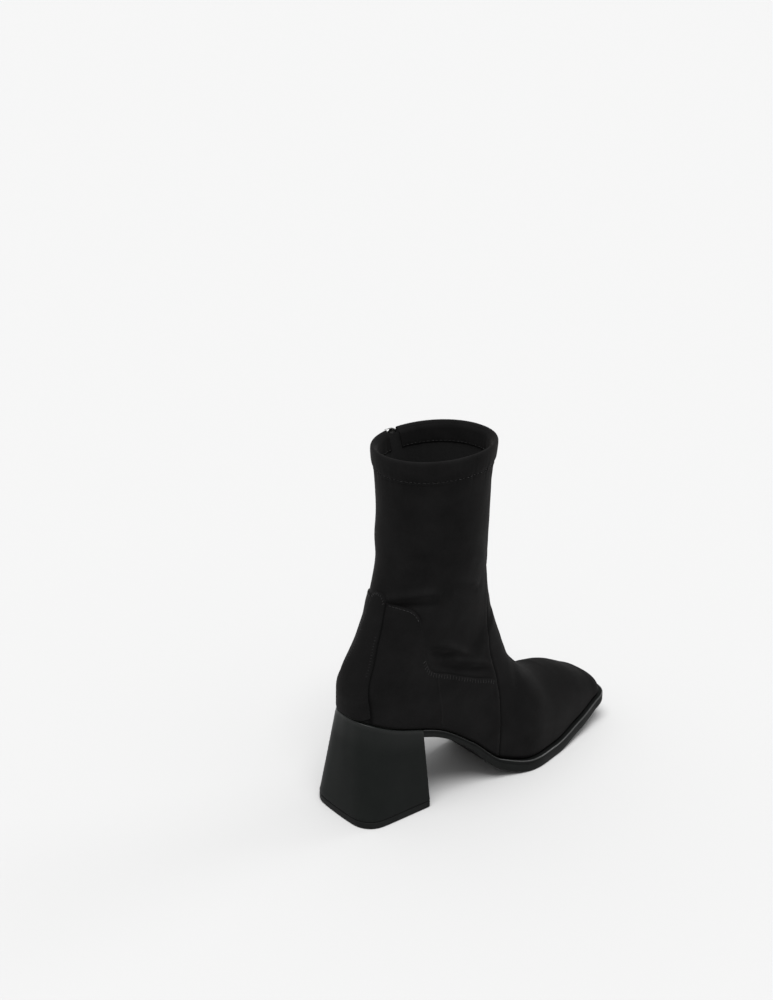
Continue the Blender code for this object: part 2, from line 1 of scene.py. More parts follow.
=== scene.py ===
import json
import math
from collections import namedtuple

import bmesh
import bpy
import numpy as np
from mathutils import Matrix, Vector
from mathutils.bvhtree import BVHTree
from mathutils.geometry import tessellate_polygon


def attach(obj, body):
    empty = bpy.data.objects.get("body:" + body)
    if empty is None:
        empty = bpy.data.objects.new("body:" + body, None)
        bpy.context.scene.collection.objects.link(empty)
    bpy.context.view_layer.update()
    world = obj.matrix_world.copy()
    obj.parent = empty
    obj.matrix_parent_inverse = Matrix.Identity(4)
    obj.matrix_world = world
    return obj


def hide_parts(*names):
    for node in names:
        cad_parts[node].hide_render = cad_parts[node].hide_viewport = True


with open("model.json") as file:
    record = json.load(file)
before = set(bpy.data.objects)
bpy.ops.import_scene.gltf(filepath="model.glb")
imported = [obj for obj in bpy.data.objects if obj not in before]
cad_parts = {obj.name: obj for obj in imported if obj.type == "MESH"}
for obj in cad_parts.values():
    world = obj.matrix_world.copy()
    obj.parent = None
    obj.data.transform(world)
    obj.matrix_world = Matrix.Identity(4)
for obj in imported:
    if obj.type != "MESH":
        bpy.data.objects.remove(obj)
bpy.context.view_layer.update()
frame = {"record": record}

MM = 0.001
TINY = 1e-9
HEEL_REST_X = 22.0
heel_rest = next(m for m in frame["record"]["mounts"] if m["name"] == "heel_rest")
SHIFT = np.array(heel_rest["pos_m"]) - np.array((HEEL_REST_X, 0, 0)) * MM
DICE = np.random.default_rng(7)

# Driving dimensions, as in the model
LENGTH = 240.0
SEAT = 69.5
TOP = 250.0
COLLAR_TILT = 2.3
WALL = 2.0
GAP = 0.3
MARGIN = 14.0
WELT_STANDS_OUT = 3.0
MIDSOLE = 3.3
MIDSOLE_WAIST = 2.2
BREAST = 48.0
HEEL_BACK = -5.7
HEEL_FRONT = 50.0
HEEL_HALF = 32.0
HEEL_CORNER = 15.0
TOP_LIFT = 5.0
INSOLE = 2.6

Bed = namedtuple("Bed", "x z")
FOOTBED = (
    Bed(-12, SEAT + 6.7),
    Bed(0, SEAT + 4.4),
    Bed(30, SEAT - 5.9),
    Bed(62, SEAT - 15.7),
    Bed(90, SEAT - 33.8),
    Bed(115, 15.4),
    Bed(140, 9.4),
    Bed(165, 9.1),
    Bed(200, 14.1),
    Bed(240, 24.2),
)

Edge = namedtuple("Edge", "x thick")
SOLE_EDGE = (
    Edge(48, 6.2),
    Edge(80, 6.0),
    Edge(95, 7.2),
    Edge(108, 8.8),
    Edge(122, 9.6),
    Edge(140, 9.4),
    Edge(170, 9.2),
    Edge(240, 7.4),
)

Zip = namedtuple("Zip", "z x")
ZIP_LINE = (
    Zip(43, 104.0),
    Zip(68, 106.5),
    Zip(97, 105.0),
    Zip(135, 97.5),
    Zip(180, 85.5),
    Zip(230, 74.5),
    Zip(256, 69.5),
)


def smooth(xs, ys):
    """A smooth curve through points that never overshoots them, as a function. ys may have columns."""
    xs = np.asarray(xs, float)
    ys = np.asarray(ys, float).reshape(len(xs), -1)
    run = np.diff(xs)[:, None]
    rise = np.diff(ys, axis=0) / run
    slope = np.vstack([rise[:1], np.zeros_like(rise[1:]), rise[-1:]])
    before, after = rise[:-1], rise[1:]
    turns = before * after <= 0
    early, late = 2 * run[1:] + run[:-1], run[1:] + 2 * run[:-1]
    mean = (early + late) / (early / np.where(turns, 1, before) + late / np.where(turns, 1, after))
    slope[1:-1] = np.where(turns, 0, mean)

    def curve(x):
        x = np.asarray(x, float)
        k = np.clip(np.searchsorted(xs, x) - 1, 0, len(run) - 1)
        t = ((x - xs[k]) / run[k, 0])[..., None]
        start = ys[k] * (1 + 2 * t) * (1 - t) ** 2 + run[k] * slope[k] * t * (1 - t) ** 2
        end = ys[k + 1] * t**2 * (3 - 2 * t) - run[k] * slope[k + 1] * t**2 * (1 - t)
        return (start + end)[..., 0] if ys.shape[1] == 1 else start + end

    return curve


footbed = smooth(*zip(*FOOTBED))
sole_edge = smooth(*zip(*SOLE_EDGE))
zip_x = smooth(*zip(*ZIP_LINE))


def under(x):
    """The lowest point of the last's form at x."""
    return float(footbed(x)) - MARGIN


# Sections of the upper from the toe, round the heel, to the collar
Section = namedtuple("Section", "back_x back_z front_x front_z outer inner widest back_pow front_pow shift")
SECTIONS = (
    Section(222, under(222), 222, 38.9, 24.2, 23.7, 0.45, 7.0, 2.6, 6.0),
    Section(200, under(200), 200, 49.6, 29.8, 28.6, 0.42, 7.0, 2.4, 5.0),
    Section(165, under(165), 167, 59.2, 34.2, 34.6, 0.40, 7.0, 2.3, 0.0),
    Section(140, under(140), 150, 70.2, 37.8, 33.6, 0.38, 6.0, 2.3, -1.0),
    Section(110, under(110), 135, 88.3, 32.4, 28.6, 0.36, 5.0, 2.4, -1.5),
    Section(80, under(80), 127.5, 107.2, 29.4, 28.2, 0.36, 4.0, 2.6, -1.0),
    Section(40, under(40), 122.5, SEAT + 54, 29.3, 29.3, 0.40, 3.0, 2.8, 0.0),
    Section(10, under(10), 121.1, SEAT + 60, 27.4, 27.4, 0.41, 3.0, 2.9, 0.0),
    Section(2.6, SEAT - 4, 119.9, SEAT + 66, 27.2, 27.2, 0.42, 2.7, 2.9, 0.0),
    Section(2.4, SEAT + 16, 118.6, SEAT + 74, 27.8, 27.8, 0.44, 2.5, 2.8, 0.0),
    Section(17.6, SEAT + 48, 117.2, SEAT + 85, 28.8, 28.8, 0.46, 2.3, 2.5, 0.0),
    Section(30.4, SEAT + 82, 115.8, SEAT + 100, 30.6, 30.6, 0.48, 2.1, 2.2, 0.0),
    Section(37.0, SEAT + 108, 114.6, SEAT + 120, 32.8, 32.8, 0.50, 2.1, 2.1, 0.0),
    Section(37.6, 200, 114.4, 204, 34.2, 34.2, 0.50, 2.1, 2.1, 0.0),
    Section(35.6, TOP - COLLAR_TILT, 118.2, TOP + COLLAR_TILT, 38.3, 38.3, 0.50, 2.1, 2.1, 0.0),
)
TOE_TIP = LENGTH - WELT_STANDS_OUT - 1
TOE_SQUARE = 4.2
TOE_DROP = 2.6
TOE_EDGE = 3.0
TOE_TAPER = 0.8
SHAPE = np.array(SECTIONS)


def end_moves(sections):
    """How far the sections' backs and fronts move from each to the next."""
    return [np.linalg.norm(np.diff(sections[:, k : k + 2], axis=0), axis=1) for k in (0, 2)]


def running(steps):
    """The sums of steps so far, from 0."""
    return np.concatenate([[0], np.cumsum(steps)])


TRAVEL = running(np.add(*end_moves(SHAPE)))
section_at = smooth(TRAVEL, SHAPE)


def toe_section(share):
    """The first section carried on towards the toe's tip, share running from 0 there to 1 at the tip."""
    first, second = SHAPE[:2]
    x = first[0] + (TOE_TIP - first[0]) * share
    made = first + (first - second) * (x - first[0]) / (first[0] - second[0]) * TOE_TAPER
    narrow = (1 - share**TOE_SQUARE) ** (1 / TOE_SQUARE)
    low = (1 - share**TOE_DROP) ** (1 / TOE_DROP)
    edge = float(footbed(x)) + TOE_EDGE
    made[[0, 2]] = x
    made[1] = under(x)
    made[3] = edge + (made[3] - edge) * low
    made[4:6] *= narrow
    made[6:] = first[6:]
    return made


# Close points round each section. The turn is eased so that they lie close where the section is square, too
RING_FINE = 1440
PLACES_FINE = 4000
RESAMPLE_FINE = 40
SAME_PLACE = 0.01
turn = np.linspace(0, math.tau, RING_FINE + 1)
FINE_ANGLES = turn - np.sin(4 * turn) / 4
FRONT = RING_FINE // 2


def fine_rings(sections):
    """Close points round the sections, from the back by the outer side to the front and by the inner side."""
    columns = (c[:, None] for c in np.asarray(sections).T)
    back_x, back_z, front_x, front_z, outer, inner, widest, back_pow, front_pow, shift = columns
    c, s = np.cos(FINE_ANGLES)[None], np.sin(FINE_ANGLES)[None]
    power = np.where(c > 0, back_pow, front_pow)
    reach = np.abs(c) ** (2 / power)
    along = np.where(c > 0, widest - widest * reach, widest + (1 - widest) * reach)
    half = np.where(s > 0, outer, inner)
    y = shift - np.sign(s) * half * np.abs(s) ** (2 / power)
    return np.stack([back_x + (front_x - back_x) * along, y, back_z + (front_z - back_z) * along], axis=2)


def places(start, end, step):
    """Places along the travel whose sections lie at most a step apart."""
    fine = np.linspace(start, end, PLACES_FINE)
    run = running(np.maximum(*end_moves(section_at(fine))))
    return np.interp(np.linspace(0, run[-1], int(run[-1] / step) + 2), run, fine)


class Rings:
    """Rings of the form with the arc length along each, from which grids are cut."""

    def __init__(self, sections):
        self.points = fine_rings(sections)
        moves = np.linalg.norm(np.diff(self.points, axis=1), axis=2)
        self.arc = np.hstack([np.zeros((len(moves), 1)), np.cumsum(moves, axis=1)])
        self.front = self.arc[:, FRONT]
        self.end = self.arc[:, -1]

    def at(self, arcs):
        """Points at arc lengths, one row of them for each ring."""
        made = np.empty((*arcs.shape, 3))
        for i, row in enumerate(arcs):
            for k in range(3):
                made[i, :, k] = np.interp(row, self.arc[i], self.points[i, :, k])
        return made

    def feather(self, height):
        """The arc lengths at which each ring comes up through a height over the footbed, on either side."""
        first, last = np.zeros(len(self.arc)), self.end.copy()
        over = self.points[..., 2] - footbed(self.points[..., 0]) - height
        for i, one in enumerate(over):
            for half, into in ((range(FRONT + 1), first), (range(RING_FINE, FRONT - 1, -1), last)):
                half = list(half)
                rises = np.flatnonzero((one[half][:-1] < 0) & (one[half][1:] >= 0))
                if len(rises):
                    a, b = half[rises[0]], half[rises[0] + 1]
                    share = one[a] / (one[a] - one[b])
                    into[i] = self.arc[i, a] + share * (self.arc[i, b] - self.arc[i, a])
        return first, last


def normals(grid):
    """The ways out of a grid of points whose columns run round the boot and rows up it."""
    way = np.cross(np.gradient(grid, axis=1), np.gradient(grid, axis=0))
    size = np.linalg.norm(way, axis=2, keepdims=True)
    way = np.where(size > TINY, way / np.maximum(size, TINY), (1.0, 0.0, 0.0))
    closed = np.linalg.norm(grid[:, 0] - grid[:, -1], axis=1) < SAME_PLACE
    way[closed, 0] = way[closed, -1] = (way[closed, 0] + way[closed, -1]) / 2
    return way


def grid_faces(rows, columns, keep=None):
    """Quads of a grid, those where keep is true."""
    i, j = np.meshgrid(np.arange(rows - 1), np.arange(columns - 1), indexing="ij")
    corner = i * columns + j
    quads = np.stack([corner, corner + 1, corner + columns + 1, corner + columns], axis=2)
    return (quads[keep] if keep is not None else quads.reshape(-1, 4)).tolist()


def double_faces(rows, columns):
    """Quads of a grid, and of a second grid behind it, turned the other way."""
    faces = grid_faces(rows, columns)
    return faces + [[k + rows * columns for k in face[::-1]] for face in faces]


def run_along(points):
    """How far along a line each of its points lies."""
    return running(np.linalg.norm(np.diff(points, axis=0), axis=1))


def sampled(line, run, wanted):
    """The columns of a line at wanted distances along it."""
    return np.stack([np.interp(wanted, run, column) for column in line.T], axis=1)


def even(line, count):
    """Points at equal steps along a line."""
    run = run_along(line)
    return sampled(line, run, np.linspace(0, run[-1], count))


def resample(points, step):
    """Points about a step apart along a smooth line through the given ones."""
    points = np.asarray(points, float)
    run = run_along(points)
    dense = smooth(run, points)(np.linspace(0, run[-1], RESAMPLE_FINE * len(points)))
    return even(dense, max(int(run_along(dense)[-1] / step), 2) + 1)


def bell(far, width):
    """A share that falls off from 1 with distance."""
    return np.exp(-((far / width) ** 2))


def unit(vectors):
    return vectors / np.maximum(np.linalg.norm(vectors, axis=-1, keepdims=True), TINY)


def right_of(ways):
    """Flat ways turned to the right."""
    return np.column_stack([ways[:, 1], -ways[:, 0]])


# Materials
BLEND_SOCKETS = ("Factor_Float", "A_Color", "B_Color")
# The points' mark: painted shade on the suede, gloss on burnished edges of coats
SHADE_AND_GLOSS_MARK = "seam"
NOISE_LOW, NOISE_HIGH = 0.3, 0.7


def wire(tree, made, **inputs):
    """Sets a node's inputs to values, or links them to what varies."""
    for name, value in inputs.items():
        socket = made.inputs[name.replace("_", " ")]
        if isinstance(value, bpy.types.NodeSocket):
            tree.links.new(value, socket)
        else:
            socket.default_value = value
    return made


def new_node(tree, kind, **inputs):
    """A new shader node of a kind, with its inputs."""
    return wire(tree, tree.nodes.new(f"ShaderNode{kind}"), **inputs)


def coordinates(tree):
    return new_node(tree, "TexCoord").outputs["Object"]


Grain = namedtuple("Grain", "Scale Detail Roughness", defaults=(3.0, 0.55))


def noise(tree, grain, stretch=None):
    """A noise texture of a scale per metre, on the object's own coordinates."""
    source = coordinates(tree)
    if stretch:
        source = new_node(tree, "Mapping", Vector=source, Scale=stretch).outputs["Vector"]
    return new_node(tree, "TexNoise", Vector=source, **grain._asdict()).outputs["Fac"]


def ramp(tree, source, dark, light):
    """Colours from dark to light over a noise."""
    made = new_node(tree, "ValToRGB", Fac=source)
    for k, (place, colour) in enumerate(((NOISE_LOW, dark), (NOISE_HIGH, light))):
        made.color_ramp.elements[k].position = place
        made.color_ramp.elements[k].color = (*colour, 1)
    return made.outputs["Color"]


def spread(tree, source, low, high, start=NOISE_LOW, end=NOISE_HIGH):
    """A value spread from low to high."""
    ends = {"From_Min": start, "From_Max": end, "To_Min": low, "To_Max": high}
    return new_node(tree, "MapRange", Value=source, **ends).outputs["Result"]


Bump = namedtuple("Bump", "height strength depth")


def bumps(tree, *layers):
    """A normal from layers of a height, its strength and its depth in millimetres."""
    normal = None
    for layer in layers:
        made = new_node(tree, "Bump", Strength=layer.strength, Distance=layer.depth * MM, Height=layer.height)
        if normal:
            wire(tree, made, Normal=normal)
        normal = made.outputs["Normal"]
    return normal


def shade_and_gloss_value(tree):
    """The value that points carry: painted shade on suede, and gloss on burnished edges of coats."""
    made = new_node(tree, "Attribute")
    made.attribute_name = SHADE_AND_GLOSS_MARK
    return made.outputs["Fac"]


def material(name, **fixed):
    """A Principled material with fixed values, and its tree and shader for what varies."""
    made = bpy.data.materials.new(name)
    made.use_nodes = True
    tree = made.node_tree
    return made, tree, wire(tree, tree.nodes["Principled BSDF"], **fixed)


# Painted shade: the dark colour the suede turns towards near seams, in the crevice over the sole and where it
# faces up
PAINTED_SHADE = (0.0012, 0.0012, 0.0012)
SUEDE_PATCHES = Grain(55, 4, 0.6)
SUEDE_NAP = Grain(1500, 3, 0.6)
SUEDE_FIBRE = Grain(3200, 2, 0.5)
SUEDE_ROUGH = (0.82, 1.0)
SHEEN_TINT = (1.0, 0.97, 0.96, 1)


def suede_finish(name, dark, light, sheen):
    """Napped suede: cloudy nap and fine fibres, its colour mixed towards painted shade as far as each point's
    mark says.
    """
    made, tree, shader = material(
        name,
        Specular_IOR_Level=0.05,
        Sheen_Weight=sheen,
        Sheen_Roughness=0.4,
        Sheen_Tint=SHEEN_TINT,
    )
    patches, nap, fibre = (noise(tree, grain) for grain in (SUEDE_PATCHES, SUEDE_NAP, SUEDE_FIBRE))
    blend = new_node(tree, "Mix")
    blend.data_type = "RGBA"
    factor, before, after = (next(s for s in blend.inputs if s.identifier == i) for i in BLEND_SOCKETS)
    after.default_value = (*PAINTED_SHADE, 1)
    tree.links.new(shade_and_gloss_value(tree), factor)
    tree.links.new(ramp(tree, patches, dark, light), before)
    wire(
        tree,
        shader,
        Base_Color=next(s for s in blend.outputs if s.identifier == "Result_Color"),
        Roughness=spread(tree, nap, *SUEDE_ROUGH),
        Normal=bumps(tree, Bump(patches, 0.25, 0.8), Bump(nap, 0.45, 0.22), Bump(fibre, 0.4, 0.10)),
    )
    return made


COAT_CLOUDS = Grain(70)


def coat_finish(name, dark, light, rough, grain, depth, gloss, lip=None):
    """Satin coats and rubber with a fine grain. lip is the gloss where an edge is burnished."""
    made, tree, shader = material(name, Specular_IOR_Level=gloss)
    clouds = noise(tree, COAT_CLOUDS)
    pores = noise(tree, Grain(grain, Roughness=0.6))
    wire(
        tree,
        shader,
        Base_Color=ramp(tree, clouds, dark, light),
        Normal=bumps(tree, Bump(clouds, 0.12, 0.4), Bump(pores, 0.5, depth)),
    )
    if lip:
        shine = shade_and_gloss_value(tree)
        wire(
            tree,
            shader,
            Specular_IOR_Level=spread(tree, shine, gloss, lip, 0.0, 1.0),
            Roughness=spread(tree, shine, rough[1], rough[0], 0.0, 1.0),
        )
    else:
        wire(tree, shader, Roughness=spread(tree, pores, *rough))
    return made


CLOTH_FLUFF = Grain(900)
CLOTH_ROUGH = (0.75, 0.95)
THREAD_WOBBLE = 0.6


def cloth_finish(name, dark, light, threads, sheen=0.2):
    """A plain weave: two sets of threads across each other."""
    made, tree, shader = material(name, Specular_IOR_Level=0.2, Sheen_Weight=sheen, Sheen_Roughness=0.5)
    source = coordinates(tree)
    layers = []
    for direction in ("X", "Z"):
        wave = new_node(tree, "TexWave", Vector=source, Scale=threads, Distortion=THREAD_WOBBLE)
        wave.bands_direction = direction
        layers.append(Bump(wave.outputs["Fac"], 0.5, 0.12))
    fluff = noise(tree, CLOTH_FLUFF)
    wire(
        tree,
        shader,
        Base_Color=ramp(tree, fluff, dark, light),
        Roughness=spread(tree, fluff, *CLOTH_ROUGH),
        Normal=bumps(tree, *layers, Bump(fluff, 0.3, 0.1)),
    )
    return made


METAL_SMEAR = Grain(160, 4, 0.6)
METAL_SCRATCH = Grain(2600, 2, 0.5)
SCRATCH_STRETCH = (1.0, 1.0, 0.08)
METAL_ROUGH = (0.12, 0.28)


def metal_finish(name, dark, light):
    made, tree, shader = material(name, Metallic=1.0)
    smear = noise(tree, METAL_SMEAR)
    scratch = noise(tree, METAL_SCRATCH, SCRATCH_STRETCH)
    wire(
        tree,
        shader,
        Base_Color=ramp(tree, smear, dark, light),
        Roughness=spread(tree, smear, *METAL_ROUGH),
        Normal=bumps(tree, Bump(scratch, 0.12, 0.02)),
    )
    return made


RUBBER_TONES = ((0.0044, 0.0049, 0.0047), (0.0070, 0.0076, 0.0073))
HEEL_TONES = ((0.0066, 0.0076, 0.0072), (0.0078, 0.0089, 0.0084))
SUEDE = suede_finish("suede", (0.0047, 0.0046, 0.00465), (0.0076, 0.0074, 0.0075), sheen=0.035)
LINING = cloth_finish("lining_cloth", (0.0028,) * 3, (0.0046,) * 3, threads=900, sheen=0.02)
THREAD = cloth_finish("thread", (0.006,) * 3, (0.013,) * 3, threads=1600)
TAPE_CLOTH = cloth_finish("zip_cloth", (0.0026,) * 3, (0.0050,) * 3, threads=1300, sheen=0.03)
INSOLE_LEATHER = coat_finish(
    "insole_leather", (0.010,) * 3, (0.018,) * 3, rough=(0.55, 0.75), grain=900, depth=0.12, gloss=0.2
)
COIL_NYLON = coat_finish(
    "zip_plastic", (0.008,) * 3, (0.014,) * 3, rough=(0.35, 0.5), grain=1800, depth=0.03, gloss=0.35
)
RUBBER = coat_finish("sole_rubber", *RUBBER_TONES, rough=(0.5, 0.65), grain=1400, depth=0.05, gloss=0.10)
WELT_RUBBER = coat_finish(
    "welt_rubber", *RUBBER_TONES, rough=(0.24, 0.62), grain=1400, depth=0.04, gloss=0.07, lip=1.0
)
HEEL_COAT = coat_finish(
    "heel_coat", *HEEL_TONES, rough=(0.4, 0.5), grain=2200, depth=0.03, gloss=0.06, lip=0.22
)
METAL = metal_finish("zip_metal", (0.74, 0.74, 0.74), (0.86, 0.86, 0.85))

WELD = 0.002
NARROW = 0.001


def placed(name, data):
    """An object of the scene that holds data."""
    made = bpy.data.objects.new(name, data)
    bpy.context.scene.collection.objects.link(made)
    return made


# Angles in degrees past which the edges of a piece look sharp
PLAIN_EDGE = 40
STRAP_EDGE = 50
FIRM_EDGE = 60
SOFT_EDGE = 75
FOLD_EDGE = 80


def piece(
    name,
    points,
    faces,
    finish,
    stands_for=(),
    sharp=PLAIN_EDGE,
    weld=True,
    closed=False,
    seam=None,
    body="boot",
):
    """A mesh from points in millimetres, riding on a body. seam gives each point its painted shade, or the
    gloss of a burnished edge.
    """
    mesh = bpy.data.meshes.new(name)
    mesh.from_pydata((np.asarray(points, float).reshape(-1, 3) * MM + SHIFT).tolist(), [], faces)
    if seam is not None:
        marks = mesh.attributes.new(SHADE_AND_GLOSS_MARK, "FLOAT", "POINT")
        marks.data.foreach_set("value", np.ravel(seam).astype(np.float32))
    if weld:
        work = bmesh.new()
        work.from_mesh(mesh)
        bmesh.ops.remove_doubles(work, verts=work.verts, dist=WELD * MM)
        bmesh.ops.dissolve_degenerate(work, edges=work.edges, dist=NARROW * MM)
        loose = [v for v in work.verts if not v.link_faces]
        bmesh.ops.delete(work, geom=loose, context="VERTS")
        if closed:
            bmesh.ops.recalc_face_normals(work, faces=work.faces)
        work.to_mesh(mesh)
        work.free()
    mesh.materials.append(finish)
    mesh.shade_smooth()
    mesh.set_sharp_from_angle(angle=math.radians(sharp))
    made = placed(name, mesh)
    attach(made, body)
    if stands_for:
        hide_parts(*stands_for)


# Creases and folds of the suede
# Each follows a few points near the surface. rise is its height, negative for a valley, width is how far it
# reaches to either side, and start is how much of it stands at its first point.
Crease = namedtuple("Crease", "rise width points start", defaults=(0.0,))
CREASES = (
    Crease(
        2.6,
        3.0,
        ((34, -10, 153), (38, -16, 155.4), (43, -21, 157.2), (51, -25.5, 158), (60, -29, 157.2)),
        start=1.0,
    ),
    Crease(
        -1.9,
        2.4,
        ((33, -10, 150), (37, -17, 150.8), (44, -23, 150.8), (53, -27.5, 150.2), (61, -29.5, 149)),
        start=1.0,
    ),
    Crease(0.8, 4.0, ((68, -31, 163), (76, -30.6, 161), (85, -29.5, 158), (97, -25, 153))),
    Crease(-0.6, 3.0, ((70, -30.4, 155), (83, -29, 152.5), (95, -25.7, 148))),
    Crease(
        1.9,
        2.6,
        ((52, -28, 119), (58, -28, 118.4), (69, -27.4, 114.4), (82, -26.5, 106.5), (92, -26, 101)),
    ),
    Crease(-1.5, 2.6, ((50, -28, 116), (56, -28, 113.5), (64, -27.5, 110), (74, -26.8, 106.1))),
    Crease(
        1.7,
        2.4,
        ((64, -27, 107), (70, -27, 105.2), (81, -27, 100.4), (93, -28.4, 96.2), (108, -27, 90.5)),
    ),
    Crease(
        -1.7,
        2.4,
        ((54, -27.5, 106), (67, -27, 100), (80, -28, 94.5), (97, -28.8, 89.6), (108, -28, 85.5)),
    ),
    Crease(0.4, 4.0, ((134, -24, 86), (140, -18, 79), (147, -12, 72.5), (155, -7, 66))),
    Crease(-0.5, 3.4, ((128, -22, 92), (133, -17, 87), (140, -10, 80.5), (147, -3, 74))),
    Crease(0.25, 4.0, ((136, -27, 74), (141, -29, 66), (144, -31, 58))),
    Crease(-0.2, 4.0, ((130, -29, 76), (134, -31, 66), (137, -33, 57))),
    Crease(0.7, 5.0, ((104, -25, 172), (92, -28, 178), (78, -32, 180))),
    Crease(-0.5, 4.5, ((106, -23, 182), (94, -28, 188), (80, -32, 190))),
    Crease(1.3, 3.0, ((44, 22, 158), (51, 26.5, 158), (60, 29.5, 156), (70, 30, 153))),
    Crease(-1.0, 2.6, ((42, 21, 151.5), (49, 26, 151), (60, 29, 148))),
    Crease(1.1, 2.8, ((52, 28, 119), (64, 28, 115), (78, 27, 108), (90, 26, 104))),
    Crease(-0.9, 2.6, ((54, 28, 112), (66, 27, 107), (80, 27, 101), (92, 27, 97))),
    Crease(0.9, 3.6, ((122, 14, 112), (127, 4, 107), (128, -6, 104), (122, -16, 102))),
    Crease(-0.7, 3.0, ((121, 14, 121), (124, 4, 116), (124, -6, 113), (120, -15, 111))),
    Crease(0.7, 4.0, ((118, 14, 138), (119, 5, 134), (119, -6, 132), (116, -14, 134))),
    Crease(0.4, 4.0, ((38, -12, 173), (46, -21, 176), (57, -29, 174))),
    Crease(1.5, 13.0, ((56, 31, 186), (47, 25, 187), (40, 14, 187), (37.5, 0, 187), (40, -13, 187))),
    Crease(1.2, 17.0, ((108, -17, 160), (111, -13, 180), (110, -16, 200), (110, -17, 225))),
    Crease(-1.0, 12.0, ((146, 8, 72), (156, 10, 66), (168, 11, 60), (182, 12, 55))),
)
CREASE_STEP = 0.5
CREASE_REACH = 3.0
CREASE_TAPER = 3.0
SEAM_GROOVE = 0.8
SEAM_WIDTH = 1.1
CREVICE = 3.0
# Painted shade on the suede where the form faces up: its most, the upward share where it begins, and its
# curve
FACING_UP_SHADE = 0.75
FACING_UP_START = 0.08
FACING_UP_CURVE = 0.6
RIPPLE_WAVES = 14
RIPPLE_DEPTH = 0.07
RIPPLE_LENGTHS = (9, 34)
RIPPLE_START = 4.0
RIPPLE_FULL = 20.0
LINE_STEP = 0.8
POINTS_AT_ONCE = 8000

# Seams: the vamp's edge runs up the outer side, over the front of the shaft and down the inner side
VAMP_SEAM = (
    (111.8, -33.0, 17),
    (113.0, -33.4, 40),
    (113.2, -31.6, 60),
    (111.6, -29.0, 78),
    (108.3, -27.7, 91),
    (106.4, -26.0, 102),
    (106.6, -24.4, 111),
    (108.4, -21.1, 121),
    (109.2, -19.5, 133),
    (109.6, -18.4, 146),
    (109.4, -18.2, 158),
    (111.5, -14.0, 168),
    (114.5, -6.0, 174),
    (115.2, 0.0, 175.5),
    (114.5, 6.0, 174),
    (112.4, 12.5, 167),
    (114.5, 13.5, 152),
    (119.0, 12.0, 138),
    (123.0, 12.5, 118),
    (124.5, 14.5, 102),
    (119.5, 20.5, 88),
    (113.6, 26.2, 77),
    (113.4, 28.0, 60),
    (113.0, 28.6, 40),
    (111.6, 28.2, 20),
)
vamp_line = resample(VAMP_SEAM, LINE_STEP)


def line_distance(points, line, limit):
    """How far points lie from a line, and how far along it. Those past a limit are at infinity."""
    far = np.full(len(points), np.inf)
    share = np.zeros(len(points))
    low, high = line.min(axis=0) - limit, line.max(axis=0) + limit
    near = np.flatnonzero(((points > low) & (points < high)).all(axis=1))
    for part in np.array_split(near, max(len(near) // POINTS_AT_ONCE, 1)):
        if len(part):
            gaps = np.linalg.norm(points[part, None] - line[None], axis=2)
            best = gaps.argmin(axis=1)
            far[part] = gaps[np.arange(len(part)), best]
            share[part] = best / (len(line) - 1)
    return far, share


crease_lines = [(c, resample(c.points, CREASE_STEP)) for c in CREASES]
wave_ways = unit(DICE.normal(size=(RIPPLE_WAVES, 3)))
wave_ways *= (math.tau / DICE.uniform(*RIPPLE_LENGTHS, RIPPLE_WAVES))[:, None]
wave_starts = DICE.uniform(0, math.tau, RIPPLE_WAVES)

SHAFT_MIDDLE = 77.0
COLLAR_HALF = 40.0
HEM_SEAM = 12.8
HEM_SEAM_Z = TOP - HEM_SEAM
PUCKER_COUNTS = (23, 37, 53, 71)
PUCKER_STARTS = DICE.uniform(0, math.tau, len(PUCKER_COUNTS))
PUCKER_DEPTH = 0.16
PUCKER_REACH = 5.0


def pucker(points, from_edge=None):
    """Small upright folds of the suede beside the hem's seam."""
    angle = np.arctan2(points[..., 1], points[..., 0] - SHAFT_MIDDLE)
    tilt = COLLAR_TILT * (points[..., 0] - SHAFT_MIDDLE) / COLLAR_HALF
    below = points[..., 2] - tilt - HEM_SEAM_Z if from_edge is None else from_edge + TOP - HEM_SEAM_Z
    waves = sum(np.sin(n * angle + start) for n, start in zip(PUCKER_COUNTS, PUCKER_STARTS)) / 2
    return PUCKER_DEPTH * waves * np.exp(-np.abs(below) / PUCKER_REACH)


def relief(points):
    """How far the suede stands out from the form: its creases, and the unevenness of soft cloth."""
    flat = points.reshape(-1, 3)
    rise = RIPPLE_DEPTH * np.sin(flat @ wave_ways.T + wave_starts).sum(axis=1) / math.sqrt(RIPPLE_WAVES)
    rise *= np.clip((flat[:, 2] - footbed(flat[:, 0]) - RIPPLE_START) / RIPPLE_FULL, 0, 1)
    rise += pucker(flat)
    for crease, line in crease_lines:
        far, share = line_distance(flat, line, CREASE_REACH * crease.width)
        near = np.isfinite(far)
        fade = np.abs(2 * share[near] - 1) ** CREASE_TAPER
        fade *= np.where(share[near] < 0.5, 1 - crease.start, 1)
        rise[near] += crease.rise * (1 - fade) * bell(far[near], crease.width)
    far, _ = line_distance(flat, vamp_line, CREASE_REACH * SEAM_WIDTH)
    rise -= SEAM_GROOVE * bell(far, SEAM_WIDTH)
    return rise.reshape(points.shape[:-1])


